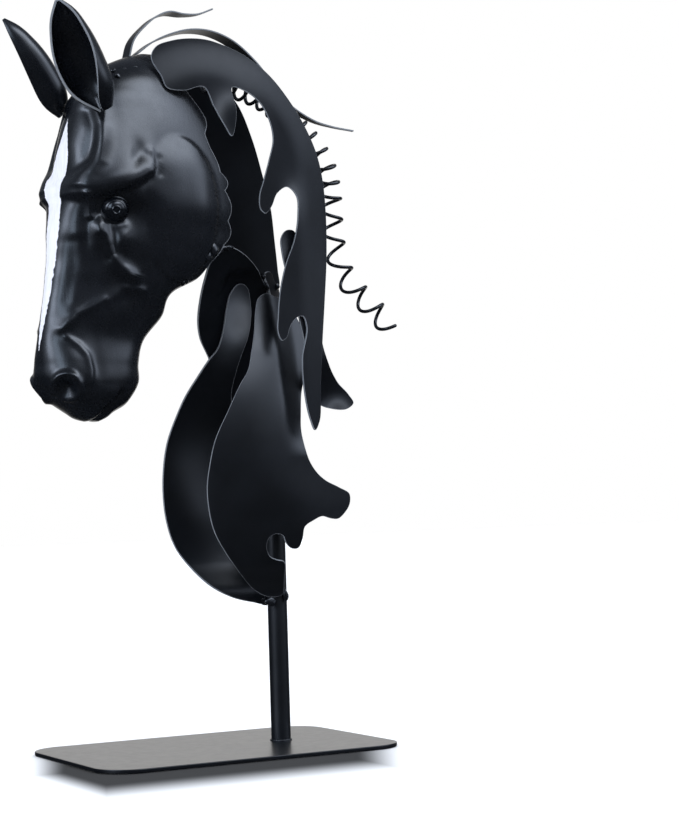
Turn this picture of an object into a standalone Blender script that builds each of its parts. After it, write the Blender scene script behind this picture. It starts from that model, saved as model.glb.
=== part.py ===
"""Horse-head ornament of pressed and cut sheet steel, on a round rod and a flat base plate.

The horse looks along -X and its left side is to -Y. The origin is the middle of the base
plate's underside. The figure is a free form: its outlines are written as shares of its own
height, in units of which it has 300, measured from the point where the chest meets the rod.
"""

import math

import bmesh
import bpy
import numpy as np
from mathutils import Vector
from mathutils.geometry import delaunay_2d_cdt

# Base plate
BASE_LENGTH = 0.161
BASE_WIDTH = 0.112
BASE_THICKNESS = 0.002
BASE_CORNER = 0.018

# Rod
POST_DIAMETER = 0.010
POST_SET_BACK = 0.037
POST_CLEAR_HEIGHT = 0.0715
POST_IN_CHEST = 0.040
POST_SIDES = 20

# Sheet and wire
SHEET = 0.0012
RIBBON_SHEET = 0.0008
WIRE = 0.0018
COIL_DIAMETER = 0.0125
GAP = 0.0003

# Figure
FIGURE_HEIGHT = 0.300
HEAD_TURN = math.radians(12)
HEAD_ORIGIN = (-59.6, -4.2, 0)
UNIT = FIGURE_HEIGHT / 300

# How finely curves are cut, in units
RIM_STEP = 5.0
FIELD_STEP = 10.0

SATIN_BLACK = (0.012, 0.013, 0.016)


def clear_scene():
    for thing in list(bpy.data.objects):
        bpy.data.objects.remove(thing, do_unlink=True)


def paint(name, colour=SATIN_BLACK, roughness=0.35, metallic=0.0):
    """A painted finish of its own for each piece."""
    finish = bpy.data.materials.new(name)
    finish.use_nodes = True
    shader = finish.node_tree.nodes["Principled BSDF"]
    shader.inputs["Base Color"].default_value = (*colour, 1.0)
    shader.inputs["Roughness"].default_value = roughness
    shader.inputs["Metallic"].default_value = metallic
    return finish


def add_object(name, points, faces, parent=None, smooth=True, roughness=0.35):
    """A named object from points in metres and faces, with its faces turned outwards."""
    mesh = bpy.data.meshes.new(name)
    mesh.from_pydata([tuple(map(float, p)) for p in points], [], faces)
    form = bmesh.new()
    form.from_mesh(mesh)
    bmesh.ops.recalc_face_normals(form, faces=form.faces)
    bmesh.ops.triangulate(form, faces=form.faces)
    form.to_mesh(mesh)
    form.free()
    if smooth:
        mesh.shade_smooth()
        mesh.set_sharp_from_angle(angle=math.radians(40))
    thing = bpy.data.objects.new(name, mesh)
    thing.data.materials.append(paint(name, roughness=roughness))
    thing.parent = parent
    bpy.context.collection.objects.link(thing)
    return thing


def add_empty(name, location, turn=0.0, parent=None):
    empty = bpy.data.objects.new(name, None)
    empty.location = location
    empty.rotation_euler = (0.0, 0.0, turn)
    empty.parent = parent
    bpy.context.collection.objects.link(empty)
    return empty


def through(knots, values, at):
    """Smooth curve through (knot, value) pairs: a cubic between neighbours, whose slope at
    each knot is that of the values around it."""
    knots = np.asarray(knots, float)
    values = np.asarray(values, float)
    at = np.clip(np.asarray(at, float), knots[0], knots[-1])
    slopes = np.gradient(values, knots)
    i = np.clip(np.searchsorted(knots, at, side="right") - 1, 0, len(knots) - 2)
    span = knots[i + 1] - knots[i]
    t = (at - knots[i]) / span
    rise = values[i + 1] - values[i]
    start = slopes[i] * span
    end = slopes[i + 1] * span
    return values[i] + t * (start + t * (3 * rise - 2 * start - end + t * (start + end - 2 * rise)))


def closed_curve(corners, step=RIM_STEP):
    """Closed smooth outline through the corners, cut into pieces of about one step."""
    corners = np.asarray(corners, float)
    count = len(corners)
    padded = np.vstack((corners[-3:], corners, corners[:3]))
    along = np.concatenate(([0.0], np.cumsum(np.linalg.norm(np.diff(padded, axis=0), axis=1) ** 0.7)))
    places = []
    for k in range(3, 3 + count):
        length = np.linalg.norm(padded[k + 1] - padded[k])
        pieces = max(1, round(length / step))
        places.append(np.linspace(along[k], along[k + 1], pieces, endpoint=False))
    at = np.concatenate(places)
    return np.column_stack([through(along, padded[:, axis], at) for axis in (0, 1)])


def smooth_step(value):
    t = np.clip(value, 0.0, 1.0)
    return t * t * (3 - 2 * t)


def inside(outline, points):
    """Which points lie inside a closed outline, by counting the edges to their right."""
    x, z = points[:, 0][:, None], points[:, 1][:, None]
    x0, z0 = outline[:, 0], outline[:, 1]
    x1, z1 = np.roll(x0, -1), np.roll(z0, -1)
    spans = (z0 > z) != (z1 > z)
    rise = np.where(z1 == z0, 1e-9, z1 - z0)
    crossing = x0 + (z - z0) / rise * (x1 - x0)
    return (spans & (x < crossing)).sum(axis=1) % 2 == 1


def distance_to(outline, points):
    """Distance of each point from a closed outline."""
    start = outline[None, :, :]
    way = np.roll(outline, -1, axis=0)[None, :, :] - start
    offset = points[:, None, :] - start
    t = np.clip((offset * way).sum(axis=2) / (way ** 2).sum(axis=2), 0.0, 1.0)
    return np.linalg.norm(offset - t[..., None] * way, axis=2).min(axis=1)


def field_points(outline, step):
    """Staggered rows of points inside an outline, clear of its edge."""
    low, high = outline.min(axis=0), outline.max(axis=0)
    rows = np.arange(low[1], high[1], step * 0.87)
    columns = np.arange(low[0], high[0] + step, step)
    x, z = np.meshgrid(columns, rows)
    x = x + (np.arange(len(rows)) % 2)[:, None] * step / 2
    points = np.column_stack((x.ravel(), z.ravel()))
    points = points[inside(outline, points)]
    return points[distance_to(outline, points) > step * 0.45]


def bent_sheet(name, corners, bend, figure, sheet=SHEET, rim_step=RIM_STEP, field_step=FIELD_STEP):
    """A piece cut from flat sheet along a smooth outline in x and z, then bent sideways to
    y = bend(x, z). Both faces lie half a wall from the middle, along the bent sheet's normal."""
    outline = closed_curve(corners, rim_step)
    flat = np.vstack((outline, field_points(outline, field_step)))
    cut = delaunay_2d_cdt([Vector(p) for p in flat], [], [list(range(len(outline)))], 1, 1e-5)
    flat = np.array([tuple(p) for p in cut[0]])
    triangles = [tuple(face) for face in cut[2]]
    x, z = flat[:, 0], flat[:, 1]
    small = 0.05
    slope_x = (bend(x + small, z) - bend(x - small, z)) / (2 * small)
    slope_z = (bend(x, z + small) - bend(x, z - small)) / (2 * small)
    normal = np.column_stack((slope_x, -np.ones(len(flat)), slope_z))
    normal /= np.linalg.norm(normal, axis=1)[:, None]
    middle = np.column_stack((x, bend(x, z), z)) * UNIT
    count = len(flat)
    points = np.vstack((middle + normal * sheet / 2, middle - normal * sheet / 2))
    rim_edges = edges_used_once(triangles)
    faces = triangles + [(c + count, b + count, a + count) for a, b, c in triangles]
    faces += [(b, a, a + count, b + count) for a, b in rim_edges]
    return add_object(name, points, faces, figure)


def edges_used_once(triangles):
    directed = {(t[k], t[(k + 1) % 3]) for t in triangles for k in range(3)}
    return [(a, b) for a, b in directed if (b, a) not in directed]


def grid_normals(grid):
    """Unit normals of a grid of points, from the cross product of its two directions."""
    down = np.gradient(grid, axis=0)
    across = np.gradient(grid, axis=1)
    normal = np.cross(across, down)
    length = np.linalg.norm(normal, axis=2)[..., None]
    return normal / np.maximum(length, 1e-9)


def grid_sheet(name, grid, sheet, parent, roughness=0.35):
    """A rolled sheet: a grid of points in units, given a wall with half on either side."""
    normal = grid_normals(grid)
    rows, columns = grid.shape[:2]
    count = rows * columns
    points = np.vstack(((grid * UNIT + normal * sheet / 2).reshape(-1, 3),
                        (grid * UNIT - normal * sheet / 2).reshape(-1, 3)))
    index = np.arange(count).reshape(rows, columns)
    quads = np.stack((index[:-1, :-1], index[:-1, 1:], index[1:, 1:], index[1:, :-1]), axis=-1).reshape(-1, 4)
    faces = [tuple(q) for q in quads.tolist()] + [tuple(q) for q in (quads[:, ::-1] + count).tolist()]
    loop = np.concatenate((index[0, :-1], index[:-1, -1], index[-1, :0:-1], index[:0:-1, 0]))
    following = np.roll(loop, -1)
    faces += [tuple(q) for q in np.column_stack((following, loop, loop + count, following + count)).tolist()]
    return add_object(name, points, faces, parent, roughness=roughness)


# Base and rod

def make_base_plate():
    """Rectangle with a quarter circle at each corner."""
    half_x = BASE_LENGTH / 2 - BASE_CORNER
    half_y = BASE_WIDTH / 2 - BASE_CORNER
    ring = []
    for quarter in range(4):
        side_x = (1, -1, -1, 1)[quarter]
        side_y = (1, 1, -1, -1)[quarter]
        for angle in np.linspace(quarter * math.pi / 2, (quarter + 1) * math.pi / 2, 7):
            ring.append((side_x * half_x + BASE_CORNER * math.cos(angle),
                         side_y * half_y + BASE_CORNER * math.sin(angle)))
    count = len(ring)
    points = [(x, y, 0.0) for x, y in ring] + [(x, y, BASE_THICKNESS) for x, y in ring]
    faces = [tuple(range(count))[::-1], tuple(range(count, 2 * count))]
    faces += [(i, (i + 1) % count, (i + 1) % count + count, i + count) for i in range(count)]
    return add_object("base_plate", points, faces)


def make_post(figure):
    """Round rod from just above the plate to its end between the chest plates."""
    radius = POST_DIAMETER / 2
    low = -POST_CLEAR_HEIGHT + GAP
    angles = np.arange(POST_SIDES) * 2 * math.pi / POST_SIDES
    ring = np.column_stack((radius * np.cos(angles), radius * np.sin(angles)))
    points = [(x, y, low) for x, y in ring] + [(x, y, POST_IN_CHEST) for x, y in ring]
    faces = [tuple(range(POST_SIDES))[::-1], tuple(range(POST_SIDES, 2 * POST_SIDES))]
    faces += [(i, (i + 1) % POST_SIDES, (i + 1) % POST_SIDES + POST_SIDES, i + POST_SIDES)
              for i in range(POST_SIDES)]
    return add_object("post", points, faces, figure)


# Chest

CHEST_HEIGHTS = (-5, 3, 20, 45, 70, 100, 125, 140, 165)
CHEST_SPREAD = (-0.2, 0, 10.5, 18, 21, 20, 14, 9, 1.5)


def chest_side(x, z):
    """Distance of a chest plate's middle from the plane of symmetry: it lies against the rod
    at the foot, swells at the breast and closes again towards its tip."""
    against_rod = (POST_DIAMETER + SHEET) / 2 / UNIT + GAP / UNIT
    middle_line = through(CHEST_HEIGHTS, (2, -2, -8, -14, -18, -16, -10, -6, -6), z)
    roll = 7 * (1 - np.exp(-((x - middle_line) / 26) ** 2)) * smooth_step((z - 10) / 60)
    return against_rod + through(CHEST_HEIGHTS, CHEST_SPREAD, z) - roll


LEFT_CHEST = (
    (-13.2, 149), (-11.3, 153.5), (-7, 156), (-0.4, 154.7), (5, 153.3), (11, 147.5), (15, 138), (14.5, 127),
    (12, 114), (8.5, 104), (6.8, 92), (6, 83), (8, 72.5), (13, 65), (18.5, 60.5), (27, 56.5), (33, 53),
    (33, 48), (30.5, 44), (26, 40.5), (22, 40.7), (16.5, 42), (11, 40), (6, 37), (5, 31), (3, 26.5),
    (-1, 26.5), (-4.5, 29.5), (-6.5, 33), (-11, 34), (-14.5, 32), (-15, 27.5), (-12.5, 23), (-8, 21),
    (-4, 20), (-1.5, 13), (0, 3), (-8, 2), (-15.5, 5.5), (-25, 13), (-36.7, 25), (-43.5, 35.5),
    (-46.5, 45.5), (-47.7, 57.5), (-46.5, 68), (-43.5, 81), (-36, 96), (-28.5, 109), (-23.5, 116),
    (-19.7, 126.5), (-16.5, 136),
)

RIGHT_CHEST = (
    (-8, 161.3), (-11, 163), (-14, 162.5), (-18, 157.6), (-19.3, 152), (-20.3, 137.5), (-22, 130),
    (-26.4, 124.5), (-33.2, 114.5), (-38.6, 106.2), (-43.8, 95.6), (-49.5, 81.8), (-52.5, 67),
    (-53.1, 54.7), (-51.8, 41), (-48, 28.3), (-41.5, 18), (-33.7, 8.5), (-23.2, 2.3), (-11, -1),
    (-3.5, -2), (-2, 6), (-3, 14), (2, 24), (9, 35), (22, 38), (29, 43), (30, 50), (23, 57), (12, 63),
    (3, 73), (-3, 85), (-9, 98), (-11, 106), (-9.6, 117), (-7.2, 126.6), (-4.6, 136), (-4, 146),
    (-5.5, 155),
)


def near_chest_side(x, z):
    """The near plate's rear edge is turned in, towards the plane of symmetry."""
    turned_in = 5 * smooth_step((x + 8) / 18) * smooth_step((z - 72) / 20)
    return turned_in - chest_side(x, z)


def make_chest_plates(figure):
    bent_sheet("left_chest_plate", LEFT_CHEST, near_chest_side, figure)
    bent_sheet("right_chest_plate", RIGHT_CHEST, chest_side, figure)


# Throat and neck

THROAT = (
    (-38, 174.5), (-34, 178), (-28, 178.8), (-17, 176.4), (-7, 172), (0.5, 166.6), (3.2, 162), (5, 157.5),
    (6, 146), (4, 133), (0, 120), (-4, 109), (-9, 103.5), (-15, 105), (-20, 114), (-25.6, 125), (-33.3, 135),
    (-37, 143.3), (-38.8, 152), (-39.5, 163),
)


def throat_side(x, z):
    """A slanting sheet that runs from the near jaw back to the far side of the chest, with a
    hollow in its middle. Its foot laps the outside of the right chest plate."""
    slant = -20 + 0.376 * (x + 43) - 0.714 * (z - 178)
    free = slant + 10 * np.exp(-((x + 12) ** 2 + (z - 154) ** 2) / 17 ** 2)
    lapped = chest_side(x, z) + (SHEET + GAP) / UNIT + 0.8
    blend = 1.5
    low = -blend * np.logaddexp(-free / blend, -lapped / blend)
    behind_tongue = smooth_step((x + 26) / 8) * smooth_step((170 - z) / 6)
    return low + behind_tongue * (lapped - low)


NECK = (
    (-30, 269), (-18, 266.5), (-8, 259), (2, 242), (9, 222), (13.5, 205), (15.5, 188), (17, 172), (17.5, 164),
    (13, 159.5), (2, 159), (-12, 161), (-18, 168), (-20.5, 176), (-23, 182), (-32, 184), (-44, 187),
    (-52, 194), (-53, 206), (-47, 221), (-42, 236), (-44, 250), (-48, 260), (-48, 266), (-41, 269),
)
NECK_HEIGHTS = (150, 200, 240, 270)
NECK_SPREAD = (22, 21.5, 19, 13)
NECK_LAP = 1.4


def neck_side(x, z):
    """The strip leans in towards the poll, and its front edge laps the inside of the head."""
    in_head = smooth_step((-26 - x) / 20) * smooth_step((236 - z) / 12)
    return through(NECK_HEIGHTS, NECK_SPREAD, z) + NECK_LAP * in_head


NECK_TAB = (
    (2, 168.5), (6, 170.3), (9, 169), (11.5, 165.5), (15.5, 163.5), (16.5, 160), (15.5, 150), (11.5, 149),
    (8.5, 155), (5.5, 161),
)


def tab_side(x, z):
    return 8.2 + 0.72 * (x - 2) + 0.01 * (x - 2) ** 2


def make_neck(figure):
    bent_sheet("throat_plate", THROAT, throat_side, figure)
    bent_sheet("neck_plate", NECK, neck_side, figure, field_step=14)
    bent_sheet("neck_tab", NECK_TAB, tab_side, figure, rim_step=4)


# Mane

MANE = (
    (-72, 270), (-69, 275.5), (-61, 279), (-51, 281), (-41, 281), (-31, 278.5), (-22, 275), (-9, 266.5),
    (3, 253), (14, 236), (18.5, 226), (21.5, 214), (23, 196), (22.5, 174), (20, 152), (17, 130),
    (14.5, 108), (13, 90), (10, 85.5), (7, 91), (4, 104), (3.5, 122), (7, 138), (5, 143), (1, 142),
    (-2.5, 138), (-5, 132), (-7.5, 130.5), (-9.5, 134), (-9, 144), (-7, 157), (-3.5, 169), (2, 182),
    (4.5, 195), (4, 204), (-1, 208.5), (-7, 205), (-10.5, 198), (-14, 194.5), (-16.5, 196.5),
    (-17, 203), (-14.5, 211), (-11, 222), (-8.5, 232), (-10, 241), (-15, 250), (-23, 255.5),
    (-30.5, 257), (-28.5, 245), (-31.5, 232.5), (-35.5, 238), (-41, 247), (-46, 256), (-57, 253.5),
    (-66, 254.5), (-68, 260),
)
# Where the mane plate stands at its inner side and along the crest, how far it flares out at the
# chest, and the hub it leans about
MANE_SPREAD = 26.6
CREST_SPREAD = 21.6
MANE_FLARE = 2.5
MANE_HUB = (-40, 217)


def mane_side(x, z):
    """The mane plate leans in towards the crest along its outer edge and stands off further
    as it comes down to the chest."""
    from_hub = np.hypot(x - MANE_HUB[0], np.maximum(z - MANE_HUB[1], 0))
    lean = (MANE_SPREAD - CREST_SPREAD) * smooth_step((from_hub - 42) / 24)
    return lean - MANE_SPREAD - MANE_FLARE * smooth_step((190 - z) / 90)


LOCK = (
    (1, 187.5), (5, 187.5), (9, 178), (13, 160), (16, 143), (20, 124), (29, 111), (37, 104.5), (40.5, 100),
    (37, 97), (28, 97), (19, 100), (11, 112), (5, 135), (1, 155), (-3, 168), (-3.5, 176), (-2.5, 183.5),
)


def lock_side(x, z):
    """A lock of hair that touches the mane plate's back and curls away at both ends."""
    curl = 5 * smooth_step((z - 165) / 25) + 9 * smooth_step((125 - z) / 28)
    return mane_side(x, z) + (SHEET + GAP) / UNIT + 0.3 + curl


def make_mane(figure):
    bent_sheet("left_mane_plate", MANE, mane_side, figure, rim_step=4, field_step=11)
    bent_sheet("right_mane_lock", LOCK, lock_side, figure)


def make_ribbon(name, route, near, far, figure):
    """A thin strip laid crosswise on a route in x and z, narrowing to its free end."""
    route = np.asarray(route, float)
    along = np.concatenate(([0.0], np.cumsum(np.linalg.norm(np.diff(route, axis=0), axis=1))))
    at = np.linspace(0, along[-1], 22)
    x = through(along, route[:, 0], at)
    z = through(along, route[:, 1], at)
    taper = 1 - 0.85 * smooth_step((at / along[-1] - 0.55) / 0.45)
    across = np.array((0.0, 0.5, 1.0))
    y = near + across[None, :] * (far - near) * taper[:, None]
    grid = np.stack((np.broadcast_to(x[:, None], y.shape), y, np.broadcast_to(z[:, None], y.shape)), axis=-1)
    return grid_sheet(name, grid, RIBBON_SHEET, figure)


CREST_ROUTE = ((-72, 275.1), (-63, 282), (-54, 286.5), (-42, 290), (-31, 290), (-21, 287), (-7, 277),
               (3, 266), (12, 256), (20, 251), (28, 247.5), (37, 245.5), (50, 244))
FORELOCK_ROUTE = ((-75.5, 273.6), (-73, 282), (-66, 290.5), (-60, 295.5), (-53, 298.5), (-45, 298),
                  (-38, 298.5), (-29, 302))


def make_ribbons(figure):
    make_ribbon("crest_ribbon", CREST_ROUTE, -6, 4, figure)
    make_ribbon("forelock_ribbon", FORELOCK_ROUTE, -4, 6, figure)


# One point of the coil's middle line for each turn, at the turn's outer side: x, how far in from
# the mane plate's crest, and z
SPRING_ROUTE = (
    (-42, 5.3, 262), (-36, 5.3, 261.3), (-29.8, 5.3, 260.4), (-23.5, 5.3, 259.3), (-17.2, 5.3, 257.8),
    (-10.4, 5.3, 255.4), (-4.3, 5.3, 252.2), (1.2, 5.3, 248.4), (6.8, 5.4, 244.3), (12.4, 5.6, 240),
    (18, 6.3, 235.3), (24.6, 8.1, 228.4), (30, 10.9, 221.2), (33.3, 14.1, 214.3), (35.7, 16.9, 206.4),
    (37.4, 19.5, 195.7), (39.8, 21.6, 183.2), (45.6, 23.2, 169), (55.2, 24, 158.3), (65.6, 24.2, 149.1),
    (75.8, 24.2, 139.1),
)
SPRING_END = 19.85
WIRE_SIDES = 5
TURN_STEPS = 9


def make_spring(figure):
    """Round wire wound on a curved line along the crest, which leans in towards the middle as
    it comes down. The turns are close on the neck and open out towards the free end."""
    route = np.asarray(SPRING_ROUTE, float) - (0, CREST_SPREAD, 0)
    turn = np.arange(int(SPRING_END * TURN_STEPS) + 1) / TURN_STEPS
    number = np.arange(len(route))
    centre = np.column_stack([through(number, route[:, axis], turn) for axis in range(3)])
    ahead = np.gradient(centre, axis=0)
    ahead /= np.linalg.norm(ahead, axis=1)[:, None]
    across = np.array((0.0, 1.0, 0.0)) - ahead[:, 1:2] * ahead
    across /= np.linalg.norm(across, axis=1)[:, None]
    outwards = np.cross(ahead, across)
    radius = (COIL_DIAMETER - WIRE) / 2 / UNIT
    angle = turn * 2 * math.pi
    middle = centre + radius * (np.cos(angle)[:, None] * outwards + np.sin(angle)[:, None] * across)
    forward = np.gradient(middle, axis=0)
    forward /= np.linalg.norm(forward, axis=1)[:, None]
    out = middle - centre
    out -= (out * forward).sum(axis=1)[:, None] * forward
    out /= np.linalg.norm(out, axis=1)[:, None]
    third = np.cross(forward, out)
    spin = np.arange(WIRE_SIDES) * 2 * math.pi / WIRE_SIDES
    ring = np.cos(spin)[None, :, None] * out[:, None, :] + np.sin(spin)[None, :, None] * third[:, None, :]
    points = (middle[:, None, :] * UNIT + ring * WIRE / 2).reshape(-1, 3)
    count = len(middle)
    index = np.arange(count * WIRE_SIDES).reshape(count, WIRE_SIDES)
    faces = [tuple(index[0][::-1].tolist()), tuple(index[-1].tolist())]
    following = np.roll(index, -1, axis=1)
    faces += np.stack((index[:-1], following[:-1], following[1:], index[1:]), axis=-1).reshape(-1, 4).tolist()
    return add_object("mane_spring", points, faces, figure)


# Head

# Each station is a level section of the head: its height, how far forward the face is, where
# the head is widest, half its width, where the section would close behind, how square it is
# in front and behind, and where the sheet really ends behind.
HEAD_STATIONS = np.array((
    (274.6, 12, 6, 2.5, 0, 2.0, 2.0, 4),
    (272.5, 19, 8, 6.0, -4, 2.0, 2.0, 4),
    (268.5, 29, 12, 11.0, -10, 2.0, 2.0, 4),
    (261, 41, 16, 16.5, -20, 2.1, 2.2, 2),
    (252, 49, 16, 20.5, -28, 2.1, 2.2, -2),
    (240, 54, 15, 24.5, -34, 2.1, 2.3, -10),
    (226, 58.5, 16, 28.0, -38, 2.3, 2.4, -8),
    (212, 59.5, 18, 30.5, -42, 2.6, 2.5, -17),
    (203, 60.2, 17, 31.0, -42, 2.9, 2.5, -19),
    (195, 64, 14, 31.0, -42, 2.4, 2.5, -20),
    (185, 66, 12, 30.0, -40, 2.1, 2.5, -20),
    (175, 67, 11, 29.0, -34, 2.0, 2.7, -16),
    (168, 67.5, 12, 27.5, -21, 2.0, 2.8, -10),
    (161, 68.5, 18, 25.5, -10, 2.0, 2.8, -6),
    (155, 69.3, 22, 23.5, 3.5, 2.0, 2.8, 3.5),
    (142, 71.7, 30, 20.0, 10, 2.0, 2.8, 10),
    (130, 73.8, 36, 18.0, 20.5, 2.1, 2.6, 20.5),
    (119, 74.5, 42, 19.0, 23.3, 2.2, 2.5, 23.3),
    (109, 73.5, 46, 19.5, 23.5, 2.2, 2.5, 23.5),
    (101, 65.5, 47, 18.0, 29.5, 2.1, 2.3, 29.5),
    (95.5, 57.5, 47, 13.5, 37.5, 2.0, 2.2, 37.5),
    (92.5, 53, 46, 9.0, 41, 2.0, 2.0, 41),
    (91.2, 50, 46, 4.0, 43, 2.0, 2.0, 43),
))
# The sheet closes behind just above the highest station whose sheet ends where its section does
HEAD_SHUT = HEAD_STATIONS[:, 7] == HEAD_STATIONS[:, 4]
HEAD_CLOSES_BELOW = HEAD_STATIONS[HEAD_SHUT, 0].max() + 2
SCALLOP_NOTCHES = (264, 233, 214, 205, 190, 178)
SCALLOP_DEPTH = 3.5
HEAD_ROWS = (274.6, 272, 268, 262, 255, 248, 242, 238, 233, 228, 223, 218, 214, 209.5, 205, 201.5, 198.5,
             196, 193, 190, 187, 184, 181, 177, 172, 166, 161, 156, 150, 144, 138, 132, 126, 120, 115, 110,
             105.5, 101, 97, 94, 92.2, 91.2)
HEAD_SWEEPS = (0, 0.08, 0.17, 0.26, 0.33, 0.39, 0.45, 0.52, 0.62, 0.74, 0.87, 1)

# Mounds and hollows of the pressing: height, middle in p and z, half sizes and turn
HEAD_HILLS = (
    (-3.6, (45, 191), (13, 8.5), 0.0),
    (-1.3, (55, 222), (4, 11), 0.0),
    (-1.0, (30, 217), (3, 7), -0.4),
    (-1.4, (57, 160), (6, 18), 0.0),
    (-1.6, (47, 136), (14, 9), 0.0),
    (1.6, (62, 114), (9, 12), 0.0),
    (0.8, (33, 98), (5, 4), 0.0),
)
# Ridges of the pressing: height, half width and the line in p and z
HEAD_RIDGES = (
    (1.8, 3.5, ((47, 246), (47, 239), (47.5, 232), (49.3, 224.6), (52.3, 214.3), (56.8, 207.7), (58, 203))),
    (1.8, 3.2, ((52, 184), (49.8, 176.8), (46.6, 169.5), (43.2, 165), (36.3, 159.6))),
    (1.0, 3.0, ((67.6, 134.6), (61, 141.6), (49, 148.6), (39.5, 154.4), (30.3, 153.7))),
    (-1.4, 1.8, ((47, 91), (46, 96), (40, 103))),
)
BROW_LINE = ((14, 224), (20, 218), (26.5, 212.8), (30, 209.3), (40.7, 203.3), (49.7, 200.3), (56, 199),
             (66, 199.5))
BROW_HEIGHT = 2.4
EYE = (45.5, 190.8)
EYE_RADIUS = 7.5
EYE_HEIGHT = 5.0
NOSTRIL = (67.4, 11.8, 106.7)
NOSTRIL_RADIUS = 6.2
NOSTRIL_RING = 1.5
NOSTRIL_DEPTH = 3.0
CHEEK = (9, 197)
CHEEK_SIZE = (20.5, 31)
CHEEK_HEIGHT = 1.6


def line_distance(line, p, z):
    """Distance from an open line of points in the side view."""
    line = np.asarray(line, float)
    nearest = np.full(np.shape(p), 1e9)
    for start, end in zip(line[:-1], line[1:]):
        way = end - start
        t = np.clip(((p - start[0]) * way[0] + (z - start[1]) * way[1]) / (way @ way), 0.0, 1.0)
        nearest = np.minimum(nearest, np.hypot(p - start[0] - t * way[0], z - start[1] - t * way[1]))
    return nearest


def hill(p, z, middle, size, turn=0.0):
    """Smooth mound of height 1: a bell curve over an ellipse, turned by an angle."""
    c, s = math.cos(turn), math.sin(turn)
    a = (c * (p - middle[0]) + s * (z - middle[1])) / size[0]
    b = (-s * (p - middle[0]) + c * (z - middle[1])) / size[1]
    return np.exp(-(a * a + b * b))


def head_relief(p, l, z):
    """How far the pressed carving stands out of the plain head, in units: the brow, mounds and
    ridges, the ball of the eye, the disc of the cheek and the ring and hole of the nostril."""
    above = z - through([a for a, _ in BROW_LINE], [b for _, b in BROW_LINE], p)
    over_eye = smooth_step((p - 22) / 10) * smooth_step((68 - p) / 8)
    relief = BROW_HEIGHT * over_eye * np.exp(-(above / np.where(above > 0, 11, 2.2)) ** 2)
    for height, middle, size, turn in HEAD_HILLS:
        relief += height * hill(p, z, middle, size, turn)
    for height, width, line in HEAD_RIDGES:
        relief += height * np.exp(-(line_distance(line, p, z) / width) ** 2)
    from_eye = np.hypot(p - EYE[0], z - EYE[1]) / EYE_RADIUS
    relief += EYE_HEIGHT * np.maximum(1 - from_eye ** 2, 0.0) ** 1.5
    from_cheek = np.hypot((p - CHEEK[0]) / CHEEK_SIZE[0], (z - CHEEK[1]) / CHEEK_SIZE[1])
    relief += CHEEK_HEIGHT * smooth_step((1.02 - from_cheek) / 0.16)
    from_nostril = np.sqrt((p - NOSTRIL[0]) ** 2 + (np.abs(l) - NOSTRIL[1]) ** 2 + (z - NOSTRIL[2]) ** 2)
    relief += NOSTRIL_RING * np.exp(-((from_nostril - NOSTRIL_RADIUS) / 1.8) ** 2)
    relief -= NOSTRIL_DEPTH * np.exp(-(from_nostril / 4) ** 2)
    return relief


def head_edge(z):
    """Where the sheet ends behind: a row of scallops on the side of the neck."""
    edge = through(HEAD_STATIONS[::-1, 0], HEAD_STATIONS[::-1, 7], z)
    notches = np.array(SCALLOP_NOTCHES[::-1], float)
    i = np.clip(np.searchsorted(notches, z, side="right") - 1, 0, len(notches) - 2)
    share = np.clip((z - notches[i]) / (notches[i + 1] - notches[i]), 0.0, 1.0)
    return edge - SCALLOP_DEPTH * np.sin(math.pi * share)


def head_surface(rows, sweep):
    """Outer face of the head as a grid. A section is a stretched circle whose quarters are
    more or less square; the sweep runs from -1 on the right, by 0 in front, to 1 on the left."""
    rows = np.asarray(rows, float)
    heights = HEAD_STATIONS[::-1, 0]
    front, widest, half_width, back, square_front, square_back = (
        through(heights, HEAD_STATIONS[::-1, k], rows)[:, None] for k in range(1, 7))
    edge = head_edge(rows)[:, None]
    open_behind = rows[:, None] > HEAD_CLOSES_BELOW
    reach = np.clip((widest - edge) / (widest - back), 0.0, 1.0) ** (square_back / 2)
    last = np.where(open_behind, math.pi - np.arccos(reach), math.pi)
    angle = np.abs(sweep)[None, :] * last
    cosine, sine = np.cos(angle), np.sin(angle)
    ahead = cosine > 0
    forward = np.where(ahead, (front - widest) * np.abs(cosine) ** (2 / square_front),
                       (back - widest) * np.abs(cosine) ** (2 / square_back))
    out = np.where(ahead, np.abs(sine) ** (2 / square_front), np.abs(sine) ** (2 / square_back))
    p = widest + forward
    l = half_width * out * np.sign(sweep)[None, :]
    z = np.broadcast_to(rows[:, None], p.shape)
    plain = np.stack((p, l, z), axis=-1)
    normal = grid_normals(plain)
    return plain - normal * head_relief(p, l, z)[..., None]


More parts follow.
